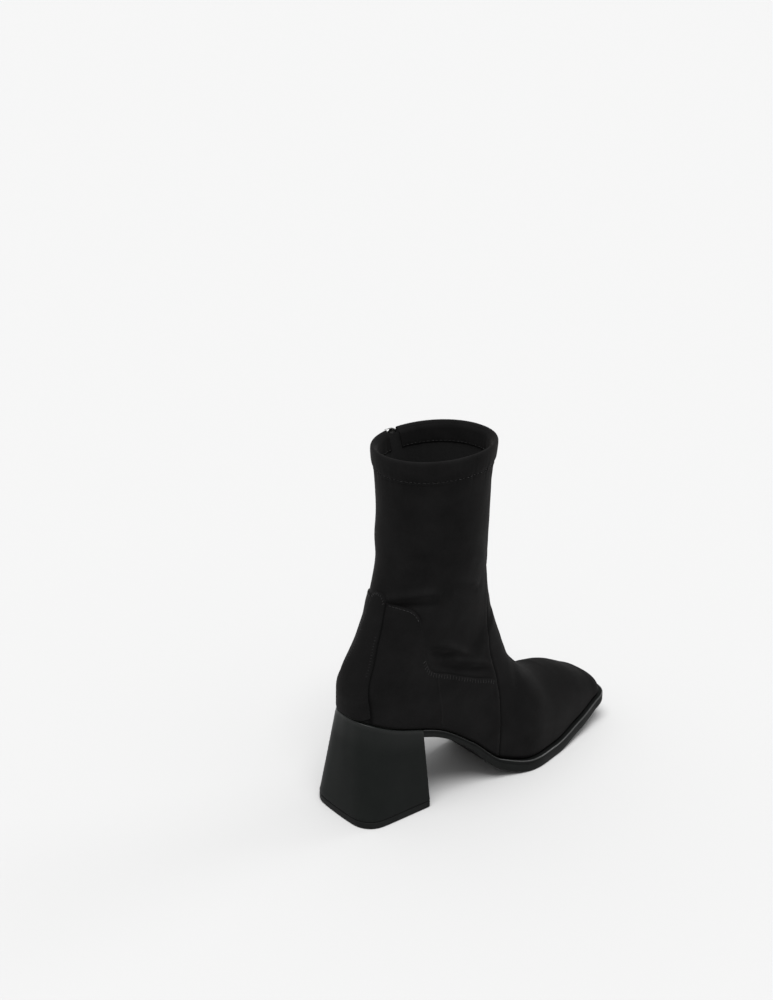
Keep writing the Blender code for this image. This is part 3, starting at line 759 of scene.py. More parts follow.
# Outlines of the overlays: the heel counter and its foxing from the side, the backstay from behind
COUNTER = (
    (-20, 152.5),
    (29, 151.0),
    (40, 148.2),
    (44.5, 142.0),
    (47, 123.0),
    (49, 110.0),
    (53, 102.0),
    (71, 93.4),
    (90, 85.2),
    (112, 74.8),
    (113.5, 60.0),
    (113, 40.0),
    (111.5, 20.0),
    (111, 0.0),
)
Stay = namedtuple("Stay", "z half")
BACKSTAY = (
    Stay(55, 18.2),
    Stay(75, 18.0),
    Stay(90, 16.8),
    Stay(105, 13.8),
    Stay(120, 10.6),
    Stay(135, 9.0),
    Stay(148, 7.8),
)
STAY_FOOT, STAY_TOP = BACKSTAY[0], BACKSTAY[-1]
STAY_CROWN = 7.5
STAY_FRONT = 45.0
FAR_OUTSIDE = -20.0
FADE_LEVELS = (98, 108, 136, 143)
FADE_SHADES = (0.7, 0.0, 0.0, 0.7)
stay_half = smooth(*zip(*BACKSTAY))


def stay_width(z):
    """Half the backstay's width at a height, kept as it is below its foot and over its top."""
    return stay_half(np.clip(z, STAY_FOOT.z, STAY_TOP.z))


def outline_distance(points, outline):
    """How far flat points lie inside a closed outline, negative outside."""
    start, end = outline, np.roll(outline, -1, axis=0)
    inside = np.zeros(len(points), bool)
    nearest = np.full(len(points), np.inf)
    for a, b in zip(start, end):
        way = b - a
        share = np.clip(((points - a) @ way) / max(way @ way, TINY), 0, 1)
        nearest = np.minimum(nearest, np.linalg.norm(points - a - share[:, None] * way, axis=1))
        spans = (a[1] > points[:, 1]) != (b[1] > points[:, 1])
        with np.errstate(divide="ignore", invalid="ignore"):
            meets = a[0] + (points[:, 1] - a[1]) / (b[1] - a[1]) * (b[0] - a[0])
        inside ^= spans & (points[:, 0] < meets)
    return np.where(inside, nearest, -nearest)


counter_curve = resample(COUNTER, LINE_STEP)
counter_outline = np.vstack([counter_curve, [(COUNTER[0][0], COUNTER[-1][1])]])


def stay_inside(grid):
    """How far points lie inside the backstay, seen from behind."""
    y, z = grid[..., 1], grid[..., 2]
    half = stay_width(z)
    over = z - STAY_TOP.z
    arch = np.sqrt(np.clip(1 - (np.clip(over, 0, None) / STAY_CROWN) ** 2, 0, 1))
    beyond = np.minimum(half * arch - np.abs(y), STAY_TOP.z + STAY_CROWN - z)
    crown = (1 - np.hypot(y / STAY_TOP.half, over / STAY_CROWN)) * STAY_CROWN
    inside = np.where(over > 0, np.minimum(beyond, crown), half - np.abs(y))
    return np.where(grid[..., 0] < STAY_FRONT, inside, FAR_OUTSIDE)


def counter_inside(grid):
    """How far points lie inside the counter's outline."""
    return outline_distance(grid.reshape(-1, 3)[:, [0, 2]], counter_outline).reshape(grid.shape[:2])


def fading(grid):
    """How strong the painted shade along the counter's edge is: along its top and its foxing, hardly down its
    front.
    """
    return np.interp(grid[..., 2], FADE_LEVELS, FADE_SHADES)


def crevice(grid):
    """Shade in the crevice over the sole."""
    return np.clip(1 - (grid[..., 2] - footbed(grid[..., 0])) / CREVICE, 0, 1)


def facing_up_shade(out):
    """Painted shade that grows as the form faces up, making its top darker against the light from above."""
    return FACING_UP_SHADE * np.clip((out[..., 2] - FACING_UP_START) / (1 - FACING_UP_START), 0, 1) ** FACING_UP_CURVE


def beside(line, grid):
    """Shade along a seam's line."""
    far, _ = line_distance(grid.reshape(-1, 3), line, CREASE_REACH * SEAM_WIDTH)
    return bell(far, SEAM_WIDTH).reshape(grid.shape[:2])


# Upper: the outer skin, with columns laid along the zip's slot
ROW_STEP = 1.3
TOE_ROWS = 26
SKIN_LOW = -0.5
OUTER_COLUMNS = 112
BEFORE_ZIP = 46
SLOT_COLUMNS = 4
AFTER_ZIP = 62
ZIP_SLOT = 6.4
ZIP_FOOT = 47.0
SLOT_SHARE = 0.6
SLANT_LEAST = 0.4
TUCK_HEIGHT = 3.6
TUCK_DEPTH = 1.8

toe_shares = np.cos(np.linspace(0, math.pi / 2, TOE_ROWS, endpoint=False))
skin_sections = [toe_section(s) for s in toe_shares] + list(section_at(places(0, TRAVEL[-1], ROW_STEP)))
rings = Rings(skin_sections)


def zip_arcs(one):
    """The arc length at which each ring crosses the zip's line, or nan where it doesn't."""
    found = np.full(len(one.arc), np.nan)
    inner = slice(FRONT, RING_FINE)
    for i, points in enumerate(one.points[:, inner]):
        miss = points[:, 0] - zip_x(np.clip(points[:, 2], ZIP_LINE[0].z, ZIP_LINE[-1].z))
        passes = np.flatnonzero((miss[:-1] * miss[1:] <= 0) & (points[:-1, 2] > ZIP_LINE[0].z))
        if len(passes):
            k = FRONT + passes[0]
            share = miss[passes[0]] / (miss[passes[0]] - miss[passes[0] + 1])
            found[i] = one.arc[i, k] + share * (one.arc[i, k + 1] - one.arc[i, k])
    return found


feather_out, feather_in = rings.feather(SKIN_LOW)
crossing = zip_arcs(rings)
zipped = np.flatnonzero(np.isfinite(crossing))


def ring_at(shift):
    """Points of the zipped rings at a shift along them from the zip's line."""
    return rings.at(np.where(np.isfinite(crossing), crossing + shift, 0)[:, None])[zipped, 0]


zip_line = ring_at(0)
zip_way = unit(np.gradient(zip_line, axis=0))
ring_way = unit(ring_at(1) - ring_at(-1))
slant = np.linalg.norm(np.cross(zip_way, ring_way), axis=1)
row_numbers = np.arange(len(rings.arc))
zip_share = np.interp(row_numbers, zipped, ((crossing - rings.front) / (feather_in - rings.front))[zipped])
zip_half = np.interp(row_numbers, zipped, ZIP_SLOT / 2 / np.maximum(slant, SLANT_LEAST))
zip_middle = rings.front + zip_share * (feather_in - rings.front)
zip_half = np.minimum(zip_half, SLOT_SHARE * (feather_in - zip_middle))


def ease(start, stop, count):
    """Rows of equal steps from start to stop, without the stop."""
    return start[:, None] + (stop - start)[:, None] * np.linspace(0, 1, count, endpoint=False)[None]


CALM_LENGTH = 12.0
SOLE_FADE = 0.35
CALM_MOST = 1.15


def settle(low, steady, share, step, kept=0):
    """Rows of places between the sole, at share 0, and a steady line, at share 1.

    A sudden change from row to row at the sole fades out on the way up. step is the distance between the
    rows, and the first rows are kept as they are."""
    full = steady - low
    spread_rows = CALM_LENGTH / step
    reach = int(3 * spread_rows)
    weights = bell(np.arange(-reach, reach + 1), spread_rows)
    calm = np.convolve(np.pad(full, reach, mode="edge"), weights / weights.sum(), mode="valid")
    calm = full + (calm - full) * np.clip((np.arange(len(full)) - kept) / spread_rows - 1, 0, 1)
    calm = full * np.minimum(calm / full, CALM_MOST)
    near = np.clip(1 - share / SOLE_FADE, 0, 1) ** 2
    return steady[:, None] - calm[:, None] * (1 - share) - (full - calm)[:, None] * near


up_outer = np.linspace(0, 1, OUTER_COLUMNS, endpoint=False)
down_inner = np.linspace(1, 0, AFTER_ZIP, endpoint=False)
slot_start, slot_stop = zip_middle - zip_half, zip_middle + zip_half
skin_arcs = np.hstack(
    [
        settle(feather_out, rings.front, up_outer, ROW_STEP, TOE_ROWS),
        ease(rings.front, slot_start, BEFORE_ZIP),
        ease(slot_start, slot_stop, SLOT_COLUMNS),
        settle(feather_in, slot_stop, down_inner, ROW_STEP, TOE_ROWS),
        feather_in[:, None],
    ]
)
skin_base = rings.at(skin_arcs)
skin_out = normals(skin_base)


def tucked(points, out, rise):
    """Points at a rise over the form, drawn in where the suede turns under along the sole."""
    over = np.clip((points[..., 2] - footbed(points[..., 0]) - SKIN_LOW) / TUCK_HEIGHT, 0, 1)
    return points + out * (rise - TUCK_DEPTH * (1 - over) ** 2)[..., None]


skin_rise = relief(skin_base)
skin = tucked(skin_base, skin_out, skin_rise)
# Painted shade on the skin: along the vamp's seam, beside the counter's edge, in the crevice over the sole
# and where it faces up
skin_shade = np.maximum.reduce(
    [
        beside(vamp_line, skin_base),
        fading(skin_base) * bell(counter_inside(skin_base), SEAM_WIDTH),
        crevice(skin_base),
        facing_up_shade(skin_out),
    ]
)
rows, columns = skin.shape[:2]
slot_first = OUTER_COLUMNS + BEFORE_ZIP
slot_end = slot_first + SLOT_COLUMNS
in_slot = np.zeros((rows - 1, columns - 1), bool)
slot_rows = np.zeros(rows, bool)
slot_rows[zipped] = zip_line[:, 2] > ZIP_FOOT
in_slot[:, slot_first:slot_end] = (slot_rows[:-1] & slot_rows[1:])[:, None]
skin_faces = grid_faces(rows, columns, ~in_slot)
piece("upper_skin", skin, skin_faces, SUEDE, ("upper",), sharp=SOFT_EDGE, seam=skin_shade)
surface = BVHTree.FromPolygons(skin.reshape(-1, 3).tolist(), grid_faces(rows, columns))


def on_surface(points, tree):
    """The nearest points of a surface, with its ways out there."""
    found = [tree.find_nearest(p) for p in np.asarray(points).reshape(-1, 3).tolist()]
    at = np.array([f[0] for f in found]).reshape(np.shape(points))
    out = np.array([f[1] for f in found]).reshape(np.shape(points))
    return at, out


def ribbon(line, profile, tree=surface):
    """A strip on a surface along a line. profile has distances to its right and heights over the surface."""
    at, out = on_surface(line, tree)
    along = unit(np.gradient(at, axis=0))
    right = unit(np.cross(along, out))
    rows = []
    for side, height in profile:
        spot, way = on_surface(at + right * side, tree)
        rows.append(spot + unit(way + out) * height)
    return np.stack(rows, axis=1)


# Stitches: short rounded lengths of thread along a line on the skin
STITCH_SIDES = 6
STITCH_SHARES = np.array((-1.0, -0.85, -0.45, 0.0, 0.45, 0.85, 1.0))
END_DROP = 0.6
END_LEAST = 0.004
# inset counts from the edge or line followed, lean turns a stitch, and zigzag turns every other one back
Stitch = namedtuple("Stitch", "inset pitch length radius height lean zigzag", defaults=(0.0, False))
COUNTER_STITCH = Stitch(1.7, 2.5, 1.8, 0.17, 0.05)
FOXING_STITCH = Stitch(2.0, 2.6, 3.0, 0.15, 0.02, lean=1.35)
CROWN_STITCH = Stitch(1.3, 1.9, 1.7, 0.15, 0.05, lean=1.2)
STAY_STITCH = Stitch(1.9, 2.0, 1.6, 0.08, -0.02, lean=1.3)
HEM_STITCH = Stitch(HEM_SEAM, 3.0, 2.3, 0.18, 0.11, lean=0.3, zigzag=True)
INSIDE_STITCH = Stitch(11.8, 3.0, 2.3, 0.14, 0.04)
ZIP_STITCH = Stitch(2.6, 2.7, 2.0, 0.2, 0.1)
TOOTH = Stitch(0.62, 1.15, 2.5, 0.46, 0.1)


def capsules(name, at, along, out, rod, finish, stands_for=()):
    """Short rounded rods, each at a place with its ways along and out, their ends bent down."""
    angles = np.linspace(0, math.tau, STITCH_SIDES, endpoint=False)
    across = np.cross(along, out)
    points = []
    for share in STITCH_SHARES:
        thick = rod.radius * (1 - share**4) ** 0.5 + END_LEAST
        lift = rod.height - END_DROP * rod.radius * share**2
        for angle in angles:
            points.append(
                at
                + along * (share * rod.length / 2)
                + across * (thick * math.cos(angle))
                + out * (lift + thick * math.sin(angle))
            )
    points = np.stack(points, axis=1)
    count, size = points.shape[:2]
    pattern = []
    for i in range(len(STITCH_SHARES) - 1):
        for s in range(STITCH_SIDES):
            a, b = i * STITCH_SIDES + s, i * STITCH_SIDES + (s + 1) % STITCH_SIDES
            pattern.append((a, b, b + STITCH_SIDES, a + STITCH_SIDES))
    pattern.append(list(range(STITCH_SIDES))[::-1])
    pattern.append([size - STITCH_SIDES + s for s in range(STITCH_SIDES)])
    faces = [[n * size + k for k in face] for n in range(count) for face in pattern]
    piece(name, points, faces, finish, stands_for, sharp=FIRM_EDGE, weld=False)


def stitches(name, lines, kind):
    """Rows of stitches of a kind. Each line gives points on what they lie on, and ways out of it."""
    spots = []
    for at, out in lines:
        run = run_along(at)
        line = np.hstack([at, unit(np.gradient(at, axis=0)), out])
        spots.append(sampled(line, run, np.arange(kind.pitch / 2, run[-1] - kind.length / 2, kind.pitch)))
    at, along, out = np.split(np.vstack(spots), 3, axis=1)
    out = unit(out)
    along = unit(along - out * (along * out).sum(axis=1, keepdims=True))
    turn = np.where(np.arange(len(at)) % 2, kind.lean, -kind.lean if kind.zigzag else kind.lean)[:, None]
    along = along * np.cos(turn) + np.cross(along, out) * np.sin(turn)
    capsules(name, at, along, out, kind, THREAD)


# Lining: a thin inner layer, closed behind the zip but for its top end
LINING_FOLLOWS = 0.6
LINING_ROWS = 3
LINING_COLUMNS = 2
ZIP_SHORT = 3.0
thin_rows = np.unique(np.r_[np.arange(0, rows, LINING_ROWS), rows - 1])
lining_rows = thin_rows[thin_rows >= TOE_ROWS // 2]
before_slot = np.arange(0, slot_first, LINING_COLUMNS)
after_slot = np.arange(slot_end, columns, LINING_COLUMNS)
keep_columns = np.unique(np.r_[before_slot, slot_first, after_slot, columns - 1])
lining_form = skin_base + skin_out * (skin_rise * LINING_FOLLOWS - WALL)[..., None]
lining_in = lining_form[lining_rows][:, keep_columns]
lining_keep = np.ones((len(lining_rows) - 1, len(keep_columns) - 1), bool)
lining_keep[lining_in[1:, 0, 2] > TOP - ZIP_SHORT, list(keep_columns).index(slot_first)] = False
lining_faces = grid_faces(*lining_in.shape[:2], lining_keep)
piece("lining", lining_in, [face[::-1] for face in lining_faces], LINING, sharp=FOLD_EDGE)

# Overlays: panels of suede cut to an outline on the form, with rounded edges that turn down to the skin
COUNTER_LEVELS = (98, 107, 134, 142)
COUNTER_HEIGHTS = (0.45, 0.12, 0.12, 0.85)
STAY_HEIGHT = 1.2
EDGE_ROUND = 0.9
PANEL_SINK = -0.15
PANEL_STEP = 0.75
PANEL_COLUMNS = 210
STRAIGHT_FIRST = 10.0
NEIGHBOURS = ((-1, 0), (1, 0), (0, -1), (0, 1), (-1, -1), (-1, 1), (1, -1), (1, 1))


def panel(name, grid, out, inside, height, stands_for, shade):
    """A panel of the grid where inside is positive. Points just outside move to its edge."""
    rows, columns = inside.shape
    snapped, reach = grid.copy(), inside.copy()
    touched = inside > 0
    best = np.full(inside.shape, -np.inf)
    for di, dj in NEIGHBOURS:
        i, j = np.arange(rows) + di, np.arange(columns) + dj
        fits = ((i >= 0) & (i < rows))[:, None] & ((j >= 0) & (j < columns))[None]
        i, j = np.clip(i, 0, rows - 1), np.clip(j, 0, columns - 1)
        there = inside[np.ix_(i, j)]
        weight = 0.0 if di and dj else STRAIGHT_FIRST
        takes = fits & (inside <= 0) & (there > 0) & (there + weight > best)
        share = np.where(takes, there / np.maximum(there - inside, TINY), 0)[..., None]
        moved = grid[np.ix_(i, j)] * (1 - share) + grid * share
        snapped[takes] = moved[takes]
        best[takes] = (there + weight)[takes]
        reach[takes] = 0
        touched |= takes
    core = inside > 0
    keep = core[:-1, :-1] | core[1:, :-1] | core[:-1, 1:] | core[1:, 1:]
    round_share = np.clip(reach / EDGE_ROUND, 0, 1)
    lift = PANEL_SINK + (height - PANEL_SINK) * np.sqrt(1 - (1 - round_share) ** 2)
    shaped = tucked(snapped, out, relief(snapped) + np.where(touched, lift, 0))
    faces = grid_faces(rows, columns, keep)
    piece(name, shaped, faces, SUEDE, stands_for, sharp=SOFT_EDGE, seam=shade)
    return BVHTree.FromPolygons(shaped.reshape(-1, 3).tolist(), faces)


PANEL_FIRST, PANEL_LAST = 3, 11
PANEL_OVER = 12.0
PANEL_ZIP_GAP = 3.4
PANEL_FRONT = 14.0
GUIDE_ROWS = 6
GUIDE_REACH = 6.0
panel_places = places(TRAVEL[PANEL_FIRST], TRAVEL[PANEL_LAST] + PANEL_OVER, PANEL_STEP)
panel_rings = Rings(section_at(panel_places))
panel_low = panel_rings.feather(SKIN_LOW)
zip_guide = resample(zip_line[zip_line[:, 2] > ZIP_FOOT - 1][::GUIDE_ROWS], 1.0)
panel_shares = (np.linspace(0, 1, PANEL_COLUMNS, endpoint=False), np.linspace(1, 0, PANEL_COLUMNS + 1))
panel_trees = {}
SIDES = (("lateral", -1), ("medial", 1))
for (side, sign), low, share in zip(SIDES, panel_low, panel_shares):
    grid = panel_rings.at(settle(low, panel_rings.front + sign * PANEL_FRONT, share, PANEL_STEP))
    out = normals(grid)
    inside = counter_inside(grid)
    if side == "medial":
        gap, _ = line_distance(grid.reshape(-1, 3), zip_guide, GUIDE_REACH)
        inside = np.minimum(inside, gap.reshape(inside.shape) - PANEL_ZIP_GAP)
    node = f"counter_{side}"
    # Painted shade on the counters: beside the backstay's edge, in the crevice over the sole and where they
    # face up
    shade = np.maximum.reduce([bell(stay_inside(grid), SEAM_WIDTH), crevice(grid), facing_up_shade(out)])
    height = np.interp(grid[..., 2], COUNTER_LEVELS, COUNTER_HEIGHTS)
    panel_trees[side] = panel(f"{node}_panel", grid, out, inside, height, (node,), shade)

STAY_REACH = 24.0
BACK_MEETS = 0.5
STAY_COLUMNS = 56


def rear_half(low):
    """Arc lengths from the sole's edge, at low, to the backstay's reach."""
    length = STAY_REACH - np.minimum(low, STAY_REACH - 1)
    return low[:, None] + np.linspace(0, 1, STAY_COLUMNS) * length[:, None]


ring_ends = panel_rings.end[:, None]
stay_left = panel_rings.at(rear_half(panel_low[0]))
stay_right = panel_rings.at(ring_ends - rear_half(panel_rings.end - panel_low[1]))
rear = np.linalg.norm(stay_right[:, 0] - stay_left[:, 0], axis=1) < BACK_MEETS
stay_grid = np.concatenate([stay_right[:, ::-1], stay_left[:, 1:]], axis=1)[np.flatnonzero(rear)[0] :]
stay_out = normals(stay_grid)
# Painted shade on the backstay: in the crevice over the sole and where it faces up
stay_shade = np.maximum(crevice(stay_grid), facing_up_shade(stay_out))
panel_trees["stay"] = panel(
    "backstay_panel",
    stay_grid,
    stay_out,
    stay_inside(stay_grid),
    STAY_HEIGHT,
    ("backstay",),
    stay_shade,
)

# Seams: folded edges along the vamp and down the quarter
SEAM_FOLD = (
    (-5, -0.1),
    (-3.5, 0.1),
    (-2, 0.34),
    (-1, 0.6),
    (-0.45, 0.66),
    (-0.1, 0.5),
    (0.08, 0.1),
    (0.14, -0.4),
)
fold_grid = ribbon(vamp_line, SEAM_FOLD)
# Painted shade on the strip's points past the seam's line, where the fold drops into the groove
fold_shade = np.broadcast_to([float(side > 0) for side, _ in SEAM_FOLD], fold_grid.shape[:2])
fold_faces = grid_faces(*fold_grid.shape[:2])
piece("vamp_seam", fold_grid, fold_faces, SUEDE, sharp=FOLD_EDGE, seam=fold_shade)

QUARTER_SEAM = ((58.8, -27, 93.5), (60.3, -28, 82), (61.4, -29, 70.6), (62.4, -28.6, 58))
QUARTER_FOLD = ((-1.3, -0.06), (-0.7, 0.14), (0, 0.24), (0.7, 0.14), (1.3, -0.06))
for side, sign in SIDES:
    line = resample(np.array(QUARTER_SEAM) * (1, -sign, 1), LINE_STEP)
    grid = ribbon(line, [(-sign * across, height) for across, height in QUARTER_FOLD], panel_trees[side])
    order = grid[:, ::-1] if side == "medial" else grid
    piece(f"quarter_seam_{side}", order, grid_faces(*grid.shape[:2]), SUEDE, sharp=FOLD_EDGE)

# Stitching along the overlays' edges
SIDE_AWAY = 90.0
BACK_AWAY = -40.0


def met(tree, starts, way):
    """Points and ways out where rays from starts along a way meet a surface."""
    hits = [tree.ray_cast(start, way) for start in starts]
    kept = [hit for hit in hits if hit[0] is not None]
    return np.array([hit[0] for hit in kept]), np.array([hit[1] for hit in kept])


def on_side(line, side, sign):
    """Where a flat line meets a counter, looking along Y."""
    return met(panel_trees[side], [(x, sign * SIDE_AWAY, z) for x, z in line.tolist()], (0, -sign, 0))


def on_back(line):
    """Where a flat line meets the backstay, looking along X."""
    return met(panel_trees["stay"], [(BACK_AWAY, y, z) for y, z in line.tolist()], (1, 0, 0))


EDGE_BACK = 24.0
EDGE_LOW = 75.5
TOP_STITCH_LOW = 138.0
FOX_STITCH_HIGH = 112.0
upper_edge = counter_curve[(counter_curve[:, 0] > EDGE_BACK) & (counter_curve[:, 1] > EDGE_LOW)]
edge_way = unit(np.gradient(upper_edge, axis=0))
edge_in = right_of(edge_way)
for side, sign in SIDES:
    top_edge = (upper_edge + COUNTER_STITCH.inset * edge_in)[upper_edge[:, 1] > TOP_STITCH_LOW]
    at, out = on_side(top_edge, side, sign)
    past_stay = np.abs(at[:, 1]) > stay_width(at[:, 2]) + 1
    stitches(f"counter_stitches_{side}", [(at[past_stay], out[past_stay])], COUNTER_STITCH)
    fox_edge = (upper_edge + FOXING_STITCH.inset * edge_in)[upper_edge[:, 1] < FOX_STITCH_HIGH]
    stitches(f"foxing_stitches_{side}", [on_side(fox_edge, side, sign)], FOXING_STITCH)

STAY_STITCH_Z = np.linspace(104, 130, 34)
CROWN_TURN = np.linspace(-1.45, 1.45, 40)
crown_half, crown_rise = STAY_TOP.half - CROWN_STITCH.inset, STAY_CROWN - CROWN_STITCH.inset
crown_line = np.column_stack([crown_half * np.sin(CROWN_TURN), STAY_TOP.z + crown_rise * np.cos(CROWN_TURN)])
stitches("crown_stitches", [on_back(crown_line)], CROWN_STITCH)
stay_y = stay_width(STAY_STITCH_Z) - STAY_STITCH.inset
stay_lines = [on_back(np.column_stack([sign * stay_y, STAY_STITCH_Z])) for sign in (-1, 1)]
stitches("backstay_stitches", stay_lines, STAY_STITCH)

# Collar hem: the suede folded in over the upper's edge and sewn down, open at the zip
HEM_PATH = (
    (0.1, -14.9),
    (0.28, -14.1),
    (0.3, -13.5),
    (0.0, -12.8),
    (0.36, -12.1),
    (0.85, -11.0),
    (1.2, -9.2),
    (1.38, -6.5),
    (1.42, -4.0),
    (1.4, -2.0),
    (1.28, -0.5),
    (1.02, 0.6),
    (0.6, 1.3),
    (0.1, 1.58),
    (-0.45, 1.5),
    (-1.1, 1.0),
    (-1.9, -0.1),
    (-2.6, -1.6),
    (-2.9, -3.4),
    (-2.9, -6.0),
    (-2.8, -10.0),
    (-2.5, -12.6),
    (-2.1, -13.4),
)
HEM_CLOTH = 0.7
HEM_OPENING = 10.4
HEM_COLUMNS = 280
HEM_STEP = 0.5
HEM_TURN = -1.0
WRONG_SIDE = 9.0
hem_outer = resample(HEM_PATH, HEM_STEP)
hem_way = unit(np.gradient(hem_outer, axis=0))
hem_inner = hem_outer - HEM_CLOTH * right_of(hem_way)
hem_loop = np.vstack([hem_outer, hem_inner[::-1]])


def shaft_grid(profile, clear):
    """Points round the shaft from zip to zip, for a profile of distances out and rises over its edge.

    The travel counts both the back's and the front's way, so it runs twice as far as the profile."""
    reach, rise = profile[:, 0], profile[:, 1]
    levels = Rings(section_at(TRAVEL[-1] - 2 * np.clip(-rise, 0, None)))
    middle = zip_arcs(levels)
    shares = np.linspace(0, 1, HEM_COLUMNS)[None]
    arcs = (middle + clear)[:, None] + shares * (levels.end - 2 * clear)[:, None]
    made = levels.at(arcs % levels.end[:, None])
    way = np.gradient(made, axis=1)
    out = unit(np.stack([way[..., 1], -way[..., 0], np.zeros(way.shape[:2])], axis=2))
    made = made + out * (reach[:, None] + pucker(made, rise[:, None]))[..., None]
    made[..., 2] += np.clip(rise, 0, None)[:, None]
    return made, out


hem_grid, hem_ways = shaft_grid(hem_loop, HEM_OPENING / 2)
count = len(hem_loop)
hem_faces = grid_faces(*hem_grid.shape[:2])
last = (count - 1) * HEM_COLUMNS
hem_faces += [(last + j, last + j + 1, j + 1, j) for j in range(HEM_COLUMNS - 1)]
for j in (0, HEM_COLUMNS - 1):
    for k in range(count // 2 - 1):
        hem_faces.append([i * HEM_COLUMNS + j for i in (k, k + 1, count - 2 - k, count - 1 - k)])
piece("collar_hem", hem_grid, hem_faces, SUEDE, ("collar_band",), sharp=SOFT_EDGE, closed=True)


def hem_line(below, turned_in):
    """The hem's row nearest a distance below its edge, on its outside or its inside, with ways out."""
    wrong = (hem_outer[:, 0] < HEM_TURN) != turned_in
    row = int(np.argmin(np.abs(hem_outer[:, 1] + below) + WRONG_SIDE * wrong))
    return hem_grid[row], -hem_ways[row] if turned_in else hem_ways[row]


stitches("hem_stitches", [hem_line(HEM_STITCH.inset, False)], HEM_STITCH)
stitches("hem_stitches_inside", [hem_line(INSIDE_STITCH.inset, True)], INSIDE_STITCH)


# Solids whose outline has an outer and an inner side with the same number of points
def two_sided(name, levels, finish, stands_for, sharp=PLAIN_EDGE, shine=None):
    """A solid through levels, each an outer and an inner line of points from the back to the front."""
    outer = np.array([level[0] for level in levels])
    inner = np.array([level[1] for level in levels])
    rows, columns = outer.shape[:2]
    size = rows * columns
    faces = double_faces(rows, columns)
    for row in (0, rows - 1):
        for k in range(row * columns, row * columns + columns - 1):
            faces.append((k, k + 1, k + 1 + size, k + size))
    for column in (0, columns - 1):
        for k in range(rows - 1):
            a, b = k * columns + column, (k + 1) * columns + column
            faces.append((a, b, b + size, a + size))
    points = np.concatenate([outer.reshape(-1, 3), inner.reshape(-1, 3)])
    marks = None if shine is None else np.tile(np.repeat(shine, columns), 2)
    piece(name, points, faces, finish, stands_for, sharp, closed=True, seam=marks)


def foot_sides(height):
    """The upper's outline at a height over the footbed, from the heel to the toe, on either side."""
    first, last = rings.feather(height)
    sides = ((first, first > 0), (last, last < rings.end))
    return [rings.at(arcs[:, None])[low, 0, :2][::-1] for arcs, low in sides]


MEETING = 2.0


def grown(sides, distance):
    """Both sides of an outline moved out by a distance, or by a function of x."""
    moved = []
    for line, sign in zip(sides, (1, -1)):
        out = sign * unit(right_of(np.gradient(line, axis=0)))
        for end, ahead in ((0, -1), (-1, 1)):
            if np.linalg.norm(sides[0][end] - sides[1][end]) < MEETING:
                out[end] = (ahead, 0)
        reach = distance(line[:, 0]) if callable(distance) else distance
        moved.append(line + out * np.broadcast_to(reach, len(line))[:, None])
    return moved


ORDER_STEP = 1e-7
ENDS_CLEAR = 0.05


def part_of(line, start, end):
    """The part of a line between two places along X."""
    order = np.maximum.accumulate(line[:, 0]) + np.arange(len(line)) * ORDER_STEP
    ends = [[x, np.interp(x, order, line[:, 1])] for x in (start, end)]
    inside = line[(line[:, 0] > start + ENDS_CLEAR) & (line[:, 0] < end - ENDS_CLEAR)]
    return np.vstack([ends[0], inside, ends[1]])


# Sole: the welt's reach past the upper, and the layers' heights, along X
WELT_X = (60, 100, 135, LENGTH)
WELT_REACH = (0.4, 1.0, WELT_STANDS_OUT, WELT_STANDS_OUT)
MIDSOLE_X = (BREAST, 90, 130, LENGTH)
MIDSOLE_THICK = (MIDSOLE_WAIST, MIDSOLE_WAIST, MIDSOLE, MIDSOLE)
MIDSOLE_UNDER = 1.5 * GAP
LAYER_GAP = 0.04


def welt_reach(x):
    return np.interp(x, WELT_X, WELT_REACH)


def midsole_top(x):
    return footbed(x) - MIDSOLE_UNDER


def midsole_low(x):
    return midsole_top(x) - np.interp(x, MIDSOLE_X, MIDSOLE_THICK)


def outsole_top(x):
    return midsole_low(x) - LAYER_GAP


def outsole_low(x):
    return np.maximum(footbed(x) - sole_edge(x), 0.0)


SOLE_POINTS = 260
SOLE_START = BREAST + ENDS_CLEAR
feather = foot_sides(0.0)
sole_sides = []
for line in grown(feather, welt_reach):
    first = int(np.argmax(line[:, 0] > SOLE_START))
    share = (SOLE_START - line[first - 1, 0]) / (line[first, 0] - line[first - 1, 0])
    start = line[first - 1] + share * (line[first] - line[first - 1])
    sole_sides.append(even(np.vstack([start, line[first:]]), SOLE_POINTS))


def sole_levels(sides, top, low, profile):
    """Levels of a sole layer. profile has insets from the edge and shares of the way from top to low."""
    levels = []
    for inset, share, _ in profile:
        level = []
        for line in grown(sides, -inset):
            z = top(line[:, 0]) + share * (low(line[:, 0]) - top(line[:, 0]))
            level.append(np.column_stack([line, z]))
        levels.append(level)
    return levels


Rim = namedtuple("Rim", "inset share shine", defaults=(0.0,))
WELT_EDGE = (
    Rim(3.5, 0.26),
    Rim(2.2, 0.2),
    Rim(1.4, 0.06),
    Rim(0.95, 0.0, 0.1),
    Rim(0.6, 0.0, 0.6),
    Rim(0.25, 0.05, 1.0),
    Rim(0.06, 0.16, 0.8),
    Rim(0.0, 0.24, 0.1),
    Rim(0.0, 0.3),
    Rim(0.0, 0.96),
    Rim(0.06, 1.0),
    Rim(3.0, 1.0),
)
TREAD_EDGE = (
    Rim(3.0, 0.0),
    Rim(0.06, 0.0),
    Rim(0.0, 0.05),
    Rim(0.0, 0.7),
    Rim(0.15, 0.88),
    Rim(0.6, 1.0),
    Rim(3.0, 1.0),
)
welt_levels = sole_levels(sole_sides, midsole_top, midsole_low, WELT_EDGE)
welt_shine = [rim.shine for rim in WELT_EDGE]
two_sided("midsole_edge", welt_levels, WELT_RUBBER, ("midsole",), SOFT_EDGE, welt_shine)
tread_levels = sole_levels(sole_sides, outsole_top, outsole_low, TREAD_EDGE)
two_sided("outsole_tread", tread_levels, RUBBER, ("outsole",), sharp=SOFT_EDGE)

